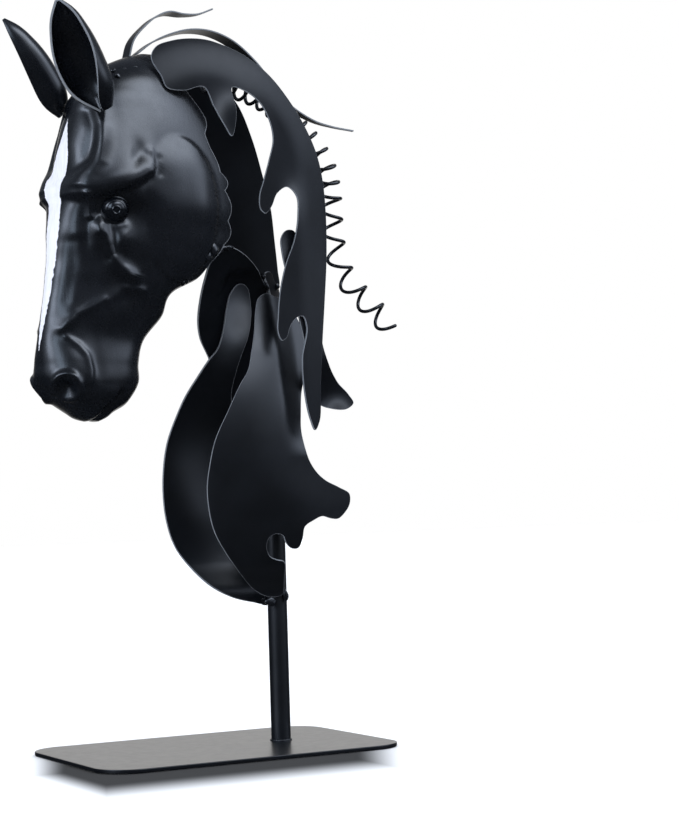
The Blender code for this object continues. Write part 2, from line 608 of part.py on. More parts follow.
def make_head(head):
    """Pressed shell: an outer and an inner grid, joined around the open back. Below the
    opening both ends of a row meet under the jaw."""
    left_half = np.array(HEAD_SWEEPS)
    sweep = np.concatenate((-left_half[:0:-1], left_half))
    grid = head_surface(HEAD_ROWS, sweep)
    rows, columns = grid.shape[:2]
    closed = [z < HEAD_CLOSES_BELOW for z in HEAD_ROWS]
    for i in range(rows):
        if closed[i]:
            seam = (grid[i, 0] + grid[i, -1]) / 2
            seam[1] = 0.0
            grid[i, 0] = seam
            grid[i, -1] = seam
    normal = -grid_normals(grid)
    for i in range(rows):
        if closed[i]:
            middle = normal[i, 0] + normal[i, -1]
            middle[1] = 0.0
            middle /= np.linalg.norm(middle)
            normal[i, 0] = middle
            normal[i, -1] = middle
    place = np.array((-1.0, -1.0, 1.0))
    outer = (grid * place * UNIT).reshape(-1, 3)
    inner = ((grid * UNIT - normal * SHEET) * place).reshape(-1, 3)
    count = rows * columns
    index = np.arange(count).reshape(rows, columns)
    for i in range(rows):
        if closed[i]:
            index[i, -1] = index[i, 0]
    quads = np.stack((index[:-1, :-1], index[:-1, 1:], index[1:, 1:], index[1:, :-1]), axis=-1).reshape(-1, 4)
    faces = [tuple(q) for q in quads.tolist()] + [tuple(q) for q in (quads[:, ::-1] + count).tolist()]
    cap_top = index[0].tolist()
    cap_foot = index[-1, :-1].tolist()
    faces += [tuple(cap_top[::-1]), tuple(i + count for i in cap_top)]
    faces += [tuple(cap_foot), tuple(i + count for i in cap_foot[::-1])]
    last_open = closed.index(True)
    left = [index[i, -1] for i in range(last_open + 1)]
    right = [index[i, 0] for i in range(last_open, -1, -1)]
    loop = left + right[1:]
    faces += [(int(b), int(a), int(a) + count, int(b) + count) for a, b in zip(loop, loop[1:] + loop[:1])]
    points = np.vstack((outer, inner))
    used = sorted({i for face in faces for i in face})
    renumber = {old: new for new, old in enumerate(used)}
    faces = [tuple(renumber[i] for i in face) for face in faces]
    return add_object("head_shell", points[used], faces, head, roughness=0.28)


# Ears

# Each ear: its base and its tip, which way its opening faces, how wide it is, how far the rolled
# sheet reaches round at the base, in the middle and at the tip, and how far it bows sideways
EARS = {
    "left_ear": ((47.8, 20.8, 240), (76.5, 26, 287), (0.92, 0.4, 0.0), 11.2, (168, 104, 84), -2.6),
    "right_ear": ((47, -16.4, 243.2), (77, -22, 287.5), (0.6, -0.8, 0.0), 8.2, (140, 100, 80), -1.4),
}
EAR_PLACES = (0, 0.15, 0.4, 0.7, 0.9, 1)
EAR_WIDTHS = (0.3, 0.79, 1, 0.86, 0.48, 0.09)
EAR_CLEARANCE = 0.8


def clear_of_head(p, l, z, clearance):
    """Moves points that would lie in the head outwards until they are clear of it, so that an
    ear rests along the forehead."""
    heights = HEAD_STATIONS[::-1, 0]
    front, widest, half_width, _, square = (through(heights, HEAD_STATIONS[::-1, k], z) for k in range(1, 6))
    ahead = np.maximum(p - widest, 0.0) / (front - widest)
    reach = (ahead ** square + (np.abs(l) / half_width) ** square) ** (1 / square)
    wanted = 1 + (clearance + np.maximum(head_relief(p, l, z), 0.0)) / half_width
    push = np.where(z < heights[-1], np.maximum(wanted / np.maximum(reach, 1e-6), 1.0), 1.0)
    return widest + (p - widest) * push, l * push


def make_ear(name, head):
    """A leaf rolled about a bowed line from its base to its tip. Each section is an arc that is
    nearly closed at the base and opens out towards the tip."""
    base, tip, facing, width, reach, bow = EARS[name]
    start = np.array(base, float)
    axis = np.array(tip, float) - start
    length = np.linalg.norm(axis)
    axis /= length
    facing = np.array(facing, float)
    facing -= (facing @ axis) * axis
    facing /= np.linalg.norm(facing)
    across = np.cross(axis, facing)
    along = np.linspace(0, 1, 11)
    radius = width * through(EAR_PLACES, EAR_WIDTHS, along)
    half_angle = np.radians(through((0, 0.5, 1), reach, along))
    turn = np.linspace(-1, 1, 10)
    angle = turn[None, :] * half_angle[:, None]
    centre = start + along[:, None] * axis * length + bow * np.sin(math.pi * along)[:, None] * across
    grid = (centre[:, None, :] - facing * (radius[:, None] * np.cos(angle))[..., None]
            + across * (radius[:, None] * np.sin(angle))[..., None])
    p, l = clear_of_head(grid[..., 0], grid[..., 1], grid[..., 2], EAR_CLEARANCE)
    grid = np.stack((-p, -l, grid[..., 2]), axis=-1)
    return grid_sheet(name, grid, SHEET, head, roughness=0.28)


def main():
    clear_scene()
    make_base_plate()
    foot = BASE_THICKNESS + POST_CLEAR_HEIGHT
    figure = add_empty("figure", (POST_SET_BACK, 0.0, foot))
    head = add_empty("head", [v * UNIT for v in HEAD_ORIGIN], HEAD_TURN, figure)
    make_post(figure)
    make_chest_plates(figure)
    make_neck(figure)
    make_mane(figure)
    make_ribbons(figure)
    make_spring(figure)
    make_head(head)
    make_ear("left_ear", head)
    make_ear("right_ear", head)
    bpy.context.view_layer.update()


main()
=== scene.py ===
"""Finished surfaces, paint and studio for a horse-head ornament of pressed and cut sheet steel.

The horse looks along -X and its left side is to -Y. The figure is worked out in units of a
millimetre at full size, measured from the point where the chest meets the rod, and the head in
units of its own: p forwards, l to the left and z upwards.
"""

import math

import bpy
import numpy as np
from bpy.props import FloatProperty, FloatVectorProperty, PointerProperty
from mathutils import Matrix, Vector
from mathutils.geometry import delaunay_2d_cdt


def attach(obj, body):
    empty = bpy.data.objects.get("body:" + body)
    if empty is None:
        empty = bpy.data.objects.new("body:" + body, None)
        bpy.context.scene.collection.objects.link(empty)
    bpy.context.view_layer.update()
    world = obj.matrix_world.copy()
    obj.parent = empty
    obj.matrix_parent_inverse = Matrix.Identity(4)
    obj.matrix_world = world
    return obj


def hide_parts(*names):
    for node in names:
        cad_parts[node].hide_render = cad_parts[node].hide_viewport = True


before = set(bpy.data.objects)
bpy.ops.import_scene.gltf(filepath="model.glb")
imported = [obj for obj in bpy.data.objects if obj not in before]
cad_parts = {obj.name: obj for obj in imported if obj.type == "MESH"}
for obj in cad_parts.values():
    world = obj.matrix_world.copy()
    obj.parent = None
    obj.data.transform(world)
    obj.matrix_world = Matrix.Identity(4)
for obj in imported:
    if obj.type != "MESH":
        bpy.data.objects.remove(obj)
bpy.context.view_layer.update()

bl_info = {
    "name": "Horse head ornament",
    "version": (1, 0, 0),
    "blender": (4, 5, 0),
    "location": "View3D > Sidebar > Horse head",
    "description": "Dresses the solids of a sheet-steel horse head with their finished surfaces",
    "category": "Object",
}

UNIT = 0.001
FIGURE_ORIGIN = np.array((0.037, 0.0, 0.0735)) / UNIT
HEAD_ORIGIN = np.array((-59.6, -4.2, 0.0))
HEAD_TURN = math.radians(12)

PAINT_SLOT = "satin_black_paint"
GLOSS_SLOT = "glossy_black_paint"
WIRE_SLOT = "black_wire_paint"


# Settings


class HorseSheetSettings(bpy.types.PropertyGroup):
    wall: FloatProperty(name="Sheet thickness", description="Wall of the cut and pressed sheet",
                        default=0.0012, min=0.0004, max=0.003, unit="LENGTH", precision=4)
    ribbon_wall: FloatProperty(name="Ribbon thickness", description="Wall of the two thin strips",
                               default=0.0008, min=0.0003, max=0.002, unit="LENGTH", precision=4)
    edge: FloatProperty(name="Edge radius", description="Rounding of the painted cut edges",
                        default=0.0003, min=0.00005, max=0.0006, unit="LENGTH", precision=5)
    rim_step: FloatProperty(name="Outline step", description="How finely the outlines are cut",
                            default=0.0010, min=0.0003, max=0.01, unit="LENGTH", precision=4)
    field_step: FloatProperty(name="Face step", description="Spacing of the points inside a cut sheet",
                              default=0.0026, min=0.001, max=0.02, unit="LENGTH", precision=4)


class HorseSpringSettings(bpy.types.PropertyGroup):
    wire: FloatProperty(name="Wire", description="Diameter of the spring's round wire",
                        default=0.0018, min=0.0005, max=0.004, unit="LENGTH", precision=4)
    coil: FloatProperty(name="Coil", description="Outside diameter of the coil",
                        default=0.0125, min=0.006, max=0.02, unit="LENGTH", precision=4)
    turns: FloatProperty(name="Turns", description="How many turns the spring has",
                         default=19.76, min=4.0, max=20.0)


class HorsePaintSettings(bpy.types.PropertyGroup):
    black: FloatVectorProperty(name="Black paint", description="Colour of the satin paint",
                               subtype="COLOR", size=3, min=0.0, max=1.0,
                               default=(0.0028, 0.0034, 0.0047))
    # Painted highlight: a paler colour along the thin cut edges, where they catch the light
    edge: FloatVectorProperty(name="Edge", description="Paler paint along the thin cut edges",
                              subtype="COLOR", size=3, min=0.0, max=1.0, default=(0.15, 0.16, 0.175))
    blaze: FloatVectorProperty(name="Blaze", description="Hand-painted white down the face",
                               subtype="COLOR", size=3, min=0.0, max=1.0, default=(0.66, 0.66, 0.71))
    roughness: FloatProperty(name="Sheet roughness", description="Roughness of the satin paint",
                             default=0.36, min=0.0, max=1.0, subtype="FACTOR")
    head_roughness: FloatProperty(name="Head roughness", description="Roughness on head and ears",
                                  default=0.27, min=0.0, max=1.0, subtype="FACTOR")
    eye_roughness: FloatProperty(name="Eye roughness", description="Roughness on the eyeballs",
                                 default=0.16, min=0.0, max=1.0, subtype="FACTOR")
    base_roughness: FloatProperty(name="Base roughness", description="Roughness on the base plate",
                                  default=0.30, min=0.0, max=1.0, subtype="FACTOR")


class HorseStageSettings(bpy.types.PropertyGroup):
    lens: FloatProperty(name="Lens", description="Focal length of the camera in millimetres",
                        default=85.88, min=20.0, max=300.0)
    floor: FloatVectorProperty(name="Floor", description="Colour of the plain floor",
                               subtype="COLOR", size=3, min=0.0, max=1.0, default=(0.92, 0.92, 0.92))
    key_light: FloatProperty(name="Key light", description="Power of the softbox high in front",
                             default=4.5, min=0.0, max=500.0)
    side_light: FloatProperty(name="Side light", description="Power of the tall window at the left",
                              default=4.0, min=0.0, max=500.0)


# Curves and surfaces

FULL_TURN = 2 * math.pi
TOUCHING, TINY = 1e-5, 1e-9
# Outlines run over their chords to this power
CHORD_POWER = 0.7
# In shares of a step: how far apart the rows of points in a sheet are, and how clear of its rim
ROW_SPACING, RIM_CLEARANCE = 0.87, 0.5
# Half the stretch that a bend's slope is taken over
SLOPE_STEP = 0.05
# Places round a rim's rounding and round the end of a wire
EDGE_TURNS = np.radians((30.0, 60.0, 90.0))
CAP_TURNS = np.radians((30.0, 60.0, 80.0))


def through(knots, values, at):
    """Smooth curve through (knot, value) pairs: a cubic between neighbours, whose slope at
    each knot is that of the values around it."""
    knots = np.asarray(knots, float)
    values = np.asarray(values, float)
    at = np.clip(np.asarray(at, float), knots[0], knots[-1])
    slopes = np.gradient(values, knots)
    i = np.clip(np.searchsorted(knots, at, side="right") - 1, 0, len(knots) - 2)
    span = knots[i + 1] - knots[i]
    t = (at - knots[i]) / span
    rise = values[i + 1] - values[i]
    start = slopes[i] * span
    end = slopes[i + 1] * span
    return values[i] + t * (start + t * (3 * rise - 2 * start - end + t * (start + end - 2 * rise)))


def fade(value, start, end):
    """Share t of the way from start to end, eased at both: 3t² - 2t³ between 0 and 1."""
    t = np.clip((value - start) / (end - start), 0.0, 1.0)
    return t * t * (3 - 2 * t)


def bell(away):
    """Bell curve of a distance: exp(-away²)."""
    return np.exp(-away ** 2)


def stretched(x, z, middle, size, turn=0.0):
    """Distance from the middle of an ellipse turned by an angle, where its border is 1."""
    c, s = math.cos(turn), math.sin(turn)
    a = (c * (x - middle[0]) + s * (z - middle[1])) / size[0]
    b = (-s * (x - middle[0]) + c * (z - middle[1])) / size[1]
    return np.hypot(a, b)


def unit_rows(vectors):
    """Each vector divided by its length."""
    length = np.linalg.norm(vectors, axis=-1, keepdims=True)
    return vectors / np.maximum(length, TINY)


def run_along(points, power=1.0):
    """How far along a line each of its points lies: the sum of the chords to a power."""
    chords = np.linalg.norm(np.diff(points, axis=0), axis=1) ** power
    return np.concatenate(([0.0], np.cumsum(chords)))


def closed_curve(corners, step):
    """Closed smooth outline through the corners, a cubic of a power of the chord length
    between neighbours, cut into pieces of about one step and run anticlockwise."""
    corners = np.asarray(corners, float)
    count = len(corners)
    padded = np.vstack((corners[-3:], corners, corners[:3]))
    along = run_along(padded, CHORD_POWER)
    places = []
    for k in range(3, 3 + count):
        length = np.linalg.norm(padded[k + 1] - padded[k])
        pieces = max(1, round(length / step))
        places.append(np.linspace(along[k], along[k + 1], pieces, endpoint=False))
    at = np.concatenate(places)
    outline = np.column_stack([through(along, padded[:, axis], at) for axis in (0, 1)])
    following = np.roll(outline, -1, axis=0)
    area = (outline[:, 0] * following[:, 1] - following[:, 0] * outline[:, 1]).sum()
    return outline if area > 0 else outline[::-1]


def outward_of(outline):
    """Unit normals of an anticlockwise outline, a quarter turn clockwise from its direction."""
    way = np.roll(outline, -1, axis=0) - np.roll(outline, 1, axis=0)
    return unit_rows(np.column_stack((way[:, 1], -way[:, 0])))


def inside(outline, points):
    """Which points lie inside a closed outline, by counting the edges to their right."""
    x, z = points[:, 0][:, None], points[:, 1][:, None]
    x0, z0 = outline[:, 0], outline[:, 1]
    x1, z1 = np.roll(x0, -1), np.roll(z0, -1)
    spans = (z0 > z) != (z1 > z)
    rise = np.where(z1 == z0, TINY, z1 - z0)
    crossing = x0 + (z - z0) / rise * (x1 - x0)
    return (spans & (x < crossing)).sum(axis=1) % 2 == 1


def distance_to(outline, points):
    """Distance of each point from a closed outline."""
    start = outline[None, :, :]
    way = np.roll(outline, -1, axis=0)[None, :, :] - start
    offset = points[:, None, :] - start
    t = np.clip((offset * way).sum(axis=2) / (way ** 2).sum(axis=2), 0.0, 1.0)
    return np.linalg.norm(offset - t[..., None] * way, axis=2).min(axis=1)


def field_points(outline, step):
    """Staggered rows of points inside an outline, clear of its edge."""
    low, high = outline.min(axis=0), outline.max(axis=0)
    rows = np.arange(low[1], high[1], step * ROW_SPACING)
    columns = np.arange(low[0], high[0] + step, step)
    x, z = np.meshgrid(columns, rows)
    x = x + (np.arange(len(rows)) % 2)[:, None] * step / 2
    points = np.column_stack((x.ravel(), z.ravel()))
    points = points[inside(outline, points)]
    return points[distance_to(outline, points) > step * RIM_CLEARANCE]


def fill(outline, step):
    """The outline's own points, followed by a field of points inside it where a step is given,
    and triangles over all."""
    flat = outline if step is None else np.vstack((outline, field_points(outline, step)))
    cut = delaunay_2d_cdt([Vector(p) for p in flat], [], [list(range(len(outline)))], 1, TOUCHING)
    if len(cut[0]) != len(flat):
        raise RuntimeError("an outline crosses itself")
    return flat, np.array([tuple(face) for face in cut[2]], int)


def put_mesh(name, points, faces, finish, slot, node=None, normals=None, marks=None):
    """A shown piece from whole arrays: points in figure units, faces as arrays of three or four
    point numbers each. It rides on the root and stands for a CAD node where one is named."""
    mesh = bpy.data.meshes.new(name)
    corners = np.concatenate([part.ravel() for part in faces])
    sizes = np.concatenate([np.full(len(part), part.shape[1]) for part in faces])
    starts = np.concatenate(([0], np.cumsum(sizes)[:-1]))
    place = ((points + FIGURE_ORIGIN) * UNIT).astype(np.float32)
    mesh.vertices.add(len(points))
    mesh.vertices.foreach_set("co", place.ravel())
    mesh.loops.add(len(corners))
    mesh.polygons.add(len(sizes))
    mesh.polygons.foreach_set("loop_start", starts.astype(np.int32))
    mesh.polygons.foreach_set("vertices", corners.astype(np.int32))
    mesh.update(calc_edges=True)
    mesh.shade_smooth()
    for label, values in (marks or {}).items():
        mark = mesh.attributes.new(label, "FLOAT", "POINT")
        mark.data.foreach_set("value", np.asarray(values, np.float32))
    if normals is not None:
        mesh.normals_split_custom_set_from_vertices(unit_rows(normals).tolist())
    mesh.materials.append(finish)
    piece = bpy.data.objects.new(name, mesh)
    bpy.context.scene.collection.objects.link(piece)
    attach(piece, "root")
    if node:
        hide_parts(node)
    return piece


def walled(front, back, faces, loop, outward, edge):
    """Joins two faces of a sheet round a loop of point numbers. The rim is two quarter circles
    of the edge radius: at each turn it lies edge * (1 - sin) in from the outline and
    edge * (1 - cos) below the face. Returns points, faces, normals and the edge mark."""
    count, turns = len(front), len(EDGE_TURNS)
    through_wall = front[loop] - back[loop]
    half = np.linalg.norm(through_wall, axis=1)[:, None] / 2
    up = through_wall / (2 * half)
    middle = (front[loop] + back[loop]) / 2
    front, back = front.copy(), back.copy()
    front[loop] -= outward * edge
    back[loop] -= outward * edge
    rings, leans = [], []
    for side in (1, -1):
        for turn in EDGE_TURNS[::side]:
            inset, drop = edge * (1 - math.sin(turn)), edge * (1 - math.cos(turn))
            rings.append(middle - outward * inset + side * up * (half - drop))
            leans.append(outward * math.sin(turn) + side * up * math.cos(turn))
    numbers = [loop]
    numbers += [2 * count + k * len(loop) + np.arange(len(loop)) for k in range(2 * turns)]
    numbers += [loop + count]
    rims = [np.column_stack((np.roll(a, -1), a, b, np.roll(b, -1)))
            for a, b in zip(numbers, numbers[1:])]
    all_faces = list(faces) + [part[:, ::-1] + count for part in faces] + rims
    marks = np.concatenate((np.zeros(2 * count), np.ones(2 * turns * len(loop))))
    return np.vstack([front, back] + rings), all_faces, leans, marks


def thickened(middle, normal, faces, loop, outward, wall, edge):
    """A surface given a wall, half of it on either side along the normals, and a rounded rim."""
    half = wall / UNIT / 2
    points, faces, leans, marks = walled(
        middle + normal * half, middle - normal * half, faces, loop, outward, edge / UNIT)
    return points, faces, np.vstack([normal, -normal] + leans), {"edge": marks}


def cut_sheet(corners, bend, sheets):
    """A sheet cut along a smooth outline in x and z and bent sideways to y = bend(x, z). Both
    faces lie half a wall from the middle along the normal (dy/dx, -1, dy/dz) of the bend."""
    outline = closed_curve(corners, sheets.rim_step / UNIT)
    flat, triangles = fill(outline, sheets.field_step / UNIT)
    x, z = flat[:, 0], flat[:, 1]
    slope_x = (bend(x + SLOPE_STEP, z) - bend(x - SLOPE_STEP, z)) / (2 * SLOPE_STEP)
    slope_z = (bend(x, z + SLOPE_STEP) - bend(x, z - SLOPE_STEP)) / (2 * SLOPE_STEP)
    normal = unit_rows(np.column_stack((slope_x, -np.ones(len(flat)), slope_z)))
    middle = np.column_stack((x, bend(x, z), z))
    rim = np.arange(len(outline))
    side = outward_of(outline)
    outward = unit_rows(np.column_stack((
        side[:, 0], slope_x[rim] * side[:, 0] + slope_z[rim] * side[:, 1], side[:, 1])))
    return thickened(middle, normal, [triangles], rim, outward, sheets.wall, sheets.edge)


def dished(points, normals, dishes):
    """A sheet's near face with shallow hammered dishes. Each is a place and a size in x and z, and
    a lean in x and z that is added to the normals, times a bell curve of the distance."""
    lean = np.zeros_like(normals)
    for middle, size, (aside, up) in dishes:
        share = bell(stretched(points[:, 0], points[:, 2], middle, size))
        lean += share[:, None] * np.array((aside, 0.0, up))
    return unit_rows(normals + lean * (normals[:, 1] < 0)[:, None])


def grid_normals(grid):
    """Unit normals of a grid of points, from the cross product of its two directions."""
    down = np.gradient(grid, axis=0)
    across = np.gradient(grid, axis=1)
    return unit_rows(np.cross(across, down))


def grid_quads(index):
    """Quads over a grid of point numbers."""
    corners = index[:-1, :-1], index[:-1, 1:], index[1:, 1:], index[1:, :-1]
    return np.stack(corners, axis=-1).reshape(-1, 4)


def rolled_sheet(grid, wall, edge):
    """A grid of points given a wall with half on either side, and a rounded rim round all four
    sides. The rim's outward way at a point is that from its neighbour one step further in."""
    rows, columns = grid.shape[:2]
    index = np.arange(rows * columns).reshape(rows, columns)
    normal = grid_normals(grid).reshape(-1, 3)
    loop = np.concatenate((index[0, :-1], index[:-1, -1], index[-1, :0:-1], index[:0:-1, 0]))
    row, column = loop // columns, loop % columns
    inner = index[np.clip(row, 1, rows - 2), np.clip(column, 1, columns - 2)]
    middle = grid.reshape(-1, 3)
    outward = middle[loop] - middle[inner]
    outward -= (outward * normal[loop]).sum(axis=1)[:, None] * normal[loop]
    return thickened(middle, normal, [grid_quads(index)], loop, unit_rows(outward), wall, edge)


def around(sides):
    """Cosines and sines of equal steps round a circle."""
    spin = np.arange(sides) * FULL_TURN / sides
    return np.cos(spin), np.sin(spin)


def ring_quads(low, high):
    """Quads between rings of point numbers and the rings above them."""
    corners = low, np.roll(low, -1, axis=1), np.roll(high, -1, axis=1), high
    return np.stack(corners, axis=-1).reshape(-1, 4)


def closed_rings(points, sides, foot, head):
    """Faces over rings of points one above the other, closed by a point at either end."""
    count = len(points)
    index = np.arange(count).reshape(-1, sides)
    low_fan = np.column_stack((np.roll(index[0], -1), index[0], np.full(sides, count)))
    high_fan = np.column_stack((index[-1], np.roll(index[-1], -1), np.full(sides, count + 1)))
    return np.vstack((points, foot, head)), [ring_quads(index[:-1], index[1:]), low_fan, high_fan]


def tube(middle, radius, side_way, sides, closed=False):
    """A round section carried along a path. At each point of the path the section lies across
    its direction: middle + radius * (cos(a) * side + sin(a) * third). Open ends are rounded
    over by three smaller sections and a point."""
    radius = np.broadcast_to(np.asarray(radius, float), len(middle))
    if closed:
        forward = np.roll(middle, -1, axis=0) - np.roll(middle, 1, axis=0)
    else:
        forward = np.gradient(middle, axis=0)
    forward = unit_rows(forward)
    side = unit_rows(side_way - (side_way * forward).sum(axis=1)[:, None] * forward)
    if not closed:
        reach, shrink = np.sin(CAP_TURNS)[:, None], np.cos(CAP_TURNS)
        middle = np.vstack((middle[0] - forward[0] * radius[0] * reach[::-1], middle,
                            middle[-1] + forward[-1] * radius[-1] * reach))
        radius = np.concatenate((radius[0] * shrink[::-1], radius, radius[-1] * shrink))
        ends = ((len(CAP_TURNS), len(CAP_TURNS)), (0, 0))
        forward, side = np.pad(forward, ends, "edge"), np.pad(side, ends, "edge")
    third = np.cross(forward, side)
    cosine, sine = (turn[None, :, None] for turn in around(sides))
    ring = cosine * side[:, None, :] + sine * third[:, None, :]
    points = (middle[:, None, :] + ring * radius[:, None, None]).reshape(-1, 3)
    if closed:
        index = np.arange(len(points)).reshape(-1, sides)
        return points, [ring_quads(index, np.roll(index, -1, axis=0))]
    return closed_rings(points, sides, middle[0], middle[-1])


def turned(profile, sides, place=(0.0, 0.0, 0.0), axis=(0.0, 0.0, 1.0)):
    """A body turned about an axis from (radius, height) pairs whose first and last lie on it:
    place + height * axis + radius * (cos(a) * side + sin(a) * third)."""
    axis = unit_rows(np.asarray(axis, float))
    away_from_axis = (0.3, 0.2, 1.0) if abs(axis[0]) > 0.5 else (1.0, 0.2, 0.1)
    side = unit_rows(np.cross(away_from_axis, axis))
    third = np.cross(axis, side)
    radius, height = np.asarray(profile, float).T
    cosine, sine = around(sides)
    ring = cosine[:, None] * side + sine[:, None] * third
    grid = radius[1:-1, None, None] * ring + height[1:-1, None, None] * axis
    points, faces = closed_rings(grid.reshape(-1, 3), sides, height[0] * axis, height[-1] * axis)
    return points + np.asarray(place, float), faces


# Paint


class Nodes:
    """Short calls for the node tree of a material or of the world. What they are fed is a number,
    a colour or another node's output."""

    def __init__(self, tree, coordinates="Object"):
        self.tree = tree
        self.place = self.add("ShaderNodeTexCoord").outputs[coordinates]

    def add(self, kind, **values):
        node = self.tree.nodes.new(kind)
        for name, value in values.items():
            setattr(node, name, value)
        return node

    def feed(self, socket, value):
        if isinstance(value, bpy.types.NodeSocket):
            self.tree.links.new(value, socket)
        else:
            socket.default_value = value

    def axes(self):
        node = self.add("ShaderNodeSeparateXYZ")
        self.feed(node.inputs[0], self.place)
        return node.outputs

    def noise(self, scale, detail, stretch=None):
        place = self.place
        if stretch:
            mapping = self.add("ShaderNodeMapping")
            mapping.inputs["Scale"].default_value = stretch
            self.feed(mapping.inputs["Vector"], place)
            place = mapping.outputs["Vector"]
        node = self.add("ShaderNodeTexNoise")
        self.feed(node.inputs["Vector"], place)
        node.inputs["Scale"].default_value = scale
        node.inputs["Detail"].default_value = detail
        return node.outputs["Fac"]

    def spread(self, value, low, high, to_low=0.0, to_high=1.0):
        node = self.add("ShaderNodeMapRange")
        for name, setting in (("Value", value), ("From Min", low), ("From Max", high),
                              ("To Min", to_low), ("To Max", to_high)):
            self.feed(node.inputs[name], setting)
        return node.outputs["Result"]

    def math(self, a, b, how="ADD"):
        node = self.add("ShaderNodeMath", operation=how)
        self.feed(node.inputs[0], a)
        self.feed(node.inputs[1], b)
        return node.outputs[0]

    def mix(self, share, a, b):
        node = self.add("ShaderNodeMix", data_type="RGBA")
        for number, value in ((0, share), (6, a), (7, b)):
            self.feed(node.inputs[number], value)
        return node.outputs[2]

    def mark(self, name):
        return self.add("ShaderNodeAttribute", attribute_name=name).outputs["Fac"]

    def bump(self, height, strength, distance, under=None):
        node = self.add("ShaderNodeBump")
        self.feed(node.inputs["Height"], height)
        node.inputs["Strength"].default_value = strength
        node.inputs["Distance"].default_value = distance
        if under is not None:
            self.feed(node.inputs["Normal"], under)
        return node.outputs["Normal"]


def new_material(name):
    """A material, the calls for its nodes and its shader."""
    material = bpy.data.materials.new(name)
    material.use_nodes = True
    return material, Nodes(material.node_tree), material.node_tree.nodes["Principled BSDF"]


def full(colour, share=1.0):
    return (*[channel * share for channel in colour], 1.0)


# Noises of the paint: how fine each is, and its detail
CLOUDS, WAVES, DAPPLE, ORANGE_PEEL = (38.0, 3.0), (55.0, 1.0), (260.0, 3.0), (1500.0, 2.0)
BLAZE_RAGS, BLAZE_STREAKS = (420.0, 3.0), (900.0, 2.0, (1.0, 1.0, 0.09))
CLOUD_RANGE, NOISE_RANGE = (0.35, 0.65), (0.3, 0.7)
# Shares of the paint's colour in the clouds and in the brush's streaks
CLOUD_SHARES, STREAK_SHARES = (0.8, 1.35), (0.9, 1.06)
ROUGHNESS_VARIES, BLAZE_ROUGHER = 0.015, 0.2
# How far the dapple frays the painted highlight along the cut edges, and between which sums it comes in
EDGE_HIGHLIGHT_FRAYED_BY, EDGE_HIGHLIGHT_BORDER = 0.5, (0.75, 1.2)
# The same for the blaze, in figure units across its border
BLAZE_FRAYED_BY, BLAZE_BORDER = 0.45, (-0.12, 0.12)
# Bumps: strength, and distance in metres
PEEL_BUMP, BLAZE_BUMP = (0.05, 0.00004), (0.35, 0.00015)
WAVE_DISTANCE = 0.0003
STREAKS_IN_BUMP = 0.4


def satin(name, roughness, edges=True, blaze=False, wave=0.15, gloss=0.5):
    """Sprayed black paint: two near blacks in soft clouds, a fine orange-peel grain, roughness
    that varies with the spray, and a painted highlight of paler colour along the cut edges. The
    blaze is brushed on in white, thinner along its ragged border."""
    paint = bpy.context.scene.horse_paint
    material, nodes, shader = new_material(name)
    dapple = nodes.noise(*DAPPLE)
    low, high = (full(paint.black, share) for share in CLOUD_SHARES)
    colour = nodes.mix(nodes.spread(nodes.noise(*CLOUDS), *CLOUD_RANGE), low, high)
    rough = nodes.spread(dapple, *NOISE_RANGE, roughness - ROUGHNESS_VARIES, roughness + ROUGHNESS_VARIES)
    # Painted highlight: a paler colour along the cut edges, frayed by the dapple
    if edges:
        pale = nodes.math(nodes.mark("edge"), nodes.math(dapple, EDGE_HIGHLIGHT_FRAYED_BY, "MULTIPLY"))
        colour = nodes.mix(nodes.spread(pale, *EDGE_HIGHLIGHT_BORDER), colour, full(paint.edge))
    normal = nodes.bump(nodes.noise(*WAVES), wave, WAVE_DISTANCE)
    normal = nodes.bump(nodes.noise(*ORANGE_PEEL), *PEEL_BUMP, normal)
    if blaze:
        rags = nodes.spread(nodes.noise(*BLAZE_RAGS), *NOISE_RANGE, -BLAZE_FRAYED_BY, BLAZE_FRAYED_BY)
        white = nodes.spread(nodes.math(nodes.mark("blaze"), rags), *BLAZE_BORDER)
        streaks = nodes.noise(*BLAZE_STREAKS)
        low, high = (full(paint.blaze, share) for share in STREAK_SHARES)
        colour = nodes.mix(white, colour, nodes.mix(nodes.spread(streaks, *NOISE_RANGE), low, high))
        rough = nodes.math(rough, nodes.math(white, BLAZE_ROUGHER, "MULTIPLY"))
        height = nodes.math(white, nodes.math(streaks, STREAKS_IN_BUMP, "MULTIPLY"))
        normal = nodes.bump(height, *BLAZE_BUMP, normal)
    for socket, value in (("Base Color", colour), ("Roughness", rough), ("Normal", normal),
                          ("Specular IOR Level", gloss)):
        nodes.feed(shader.inputs[socket], value)
    return material


# Sheets

# Dishes in the near faces of the sheets, by piece: place, size and lean of the normals
DISHES = {
    "right_chest_sheet": (((-10, 143), (24, 22), (0.0, 0.78)),),
    "mane_sheet": (((-29, 240), (12, 14), (0.0, 0.85)), ((2, 203), (6, 10), (0.0, 0.45))),
    "mane_lock_sheet": (((31, 99), (9, 7), (0.0, 0.75)),),
}
# How much less rough the chest's paint is, and the ribbons' share of the sheets' edge radius
CHEST_SMOOTHER, RIBBON_EDGE = 0.04, 0.8


def put_sheet(name, sheet, finish, slot, node):
    """A sheet's points, faces, normals and marks, shown as a piece."""
    points, faces, normals, marks = sheet
    normals = dished(points, normals, DISHES.get(name, ()))
    put_mesh(name, points, faces, finish, slot, node, normals, marks)


def make_sheet(name, corners, bend, node, finish, sheets):
    """A piece of cut sheet, in the paint of the sheets."""
    put_sheet(name, cut_sheet(corners, bend, sheets), finish, PAINT_SLOT, node)


# Base and rod

BASE_LENGTH, BASE_WIDTH, BASE_THICKNESS, BASE_CORNER = 161.0, 112.0, 2.0, 18.0
# Its edge radius, the strength of the painted highlight along its edge, and the steps round its corners in
# degrees
BASE_EDGE, BASE_EDGE_HIGHLIGHT, CORNER_STEP = 0.45, 0.4, 2.5
POST_RADIUS, POST_TOP = 5.0, 40.0
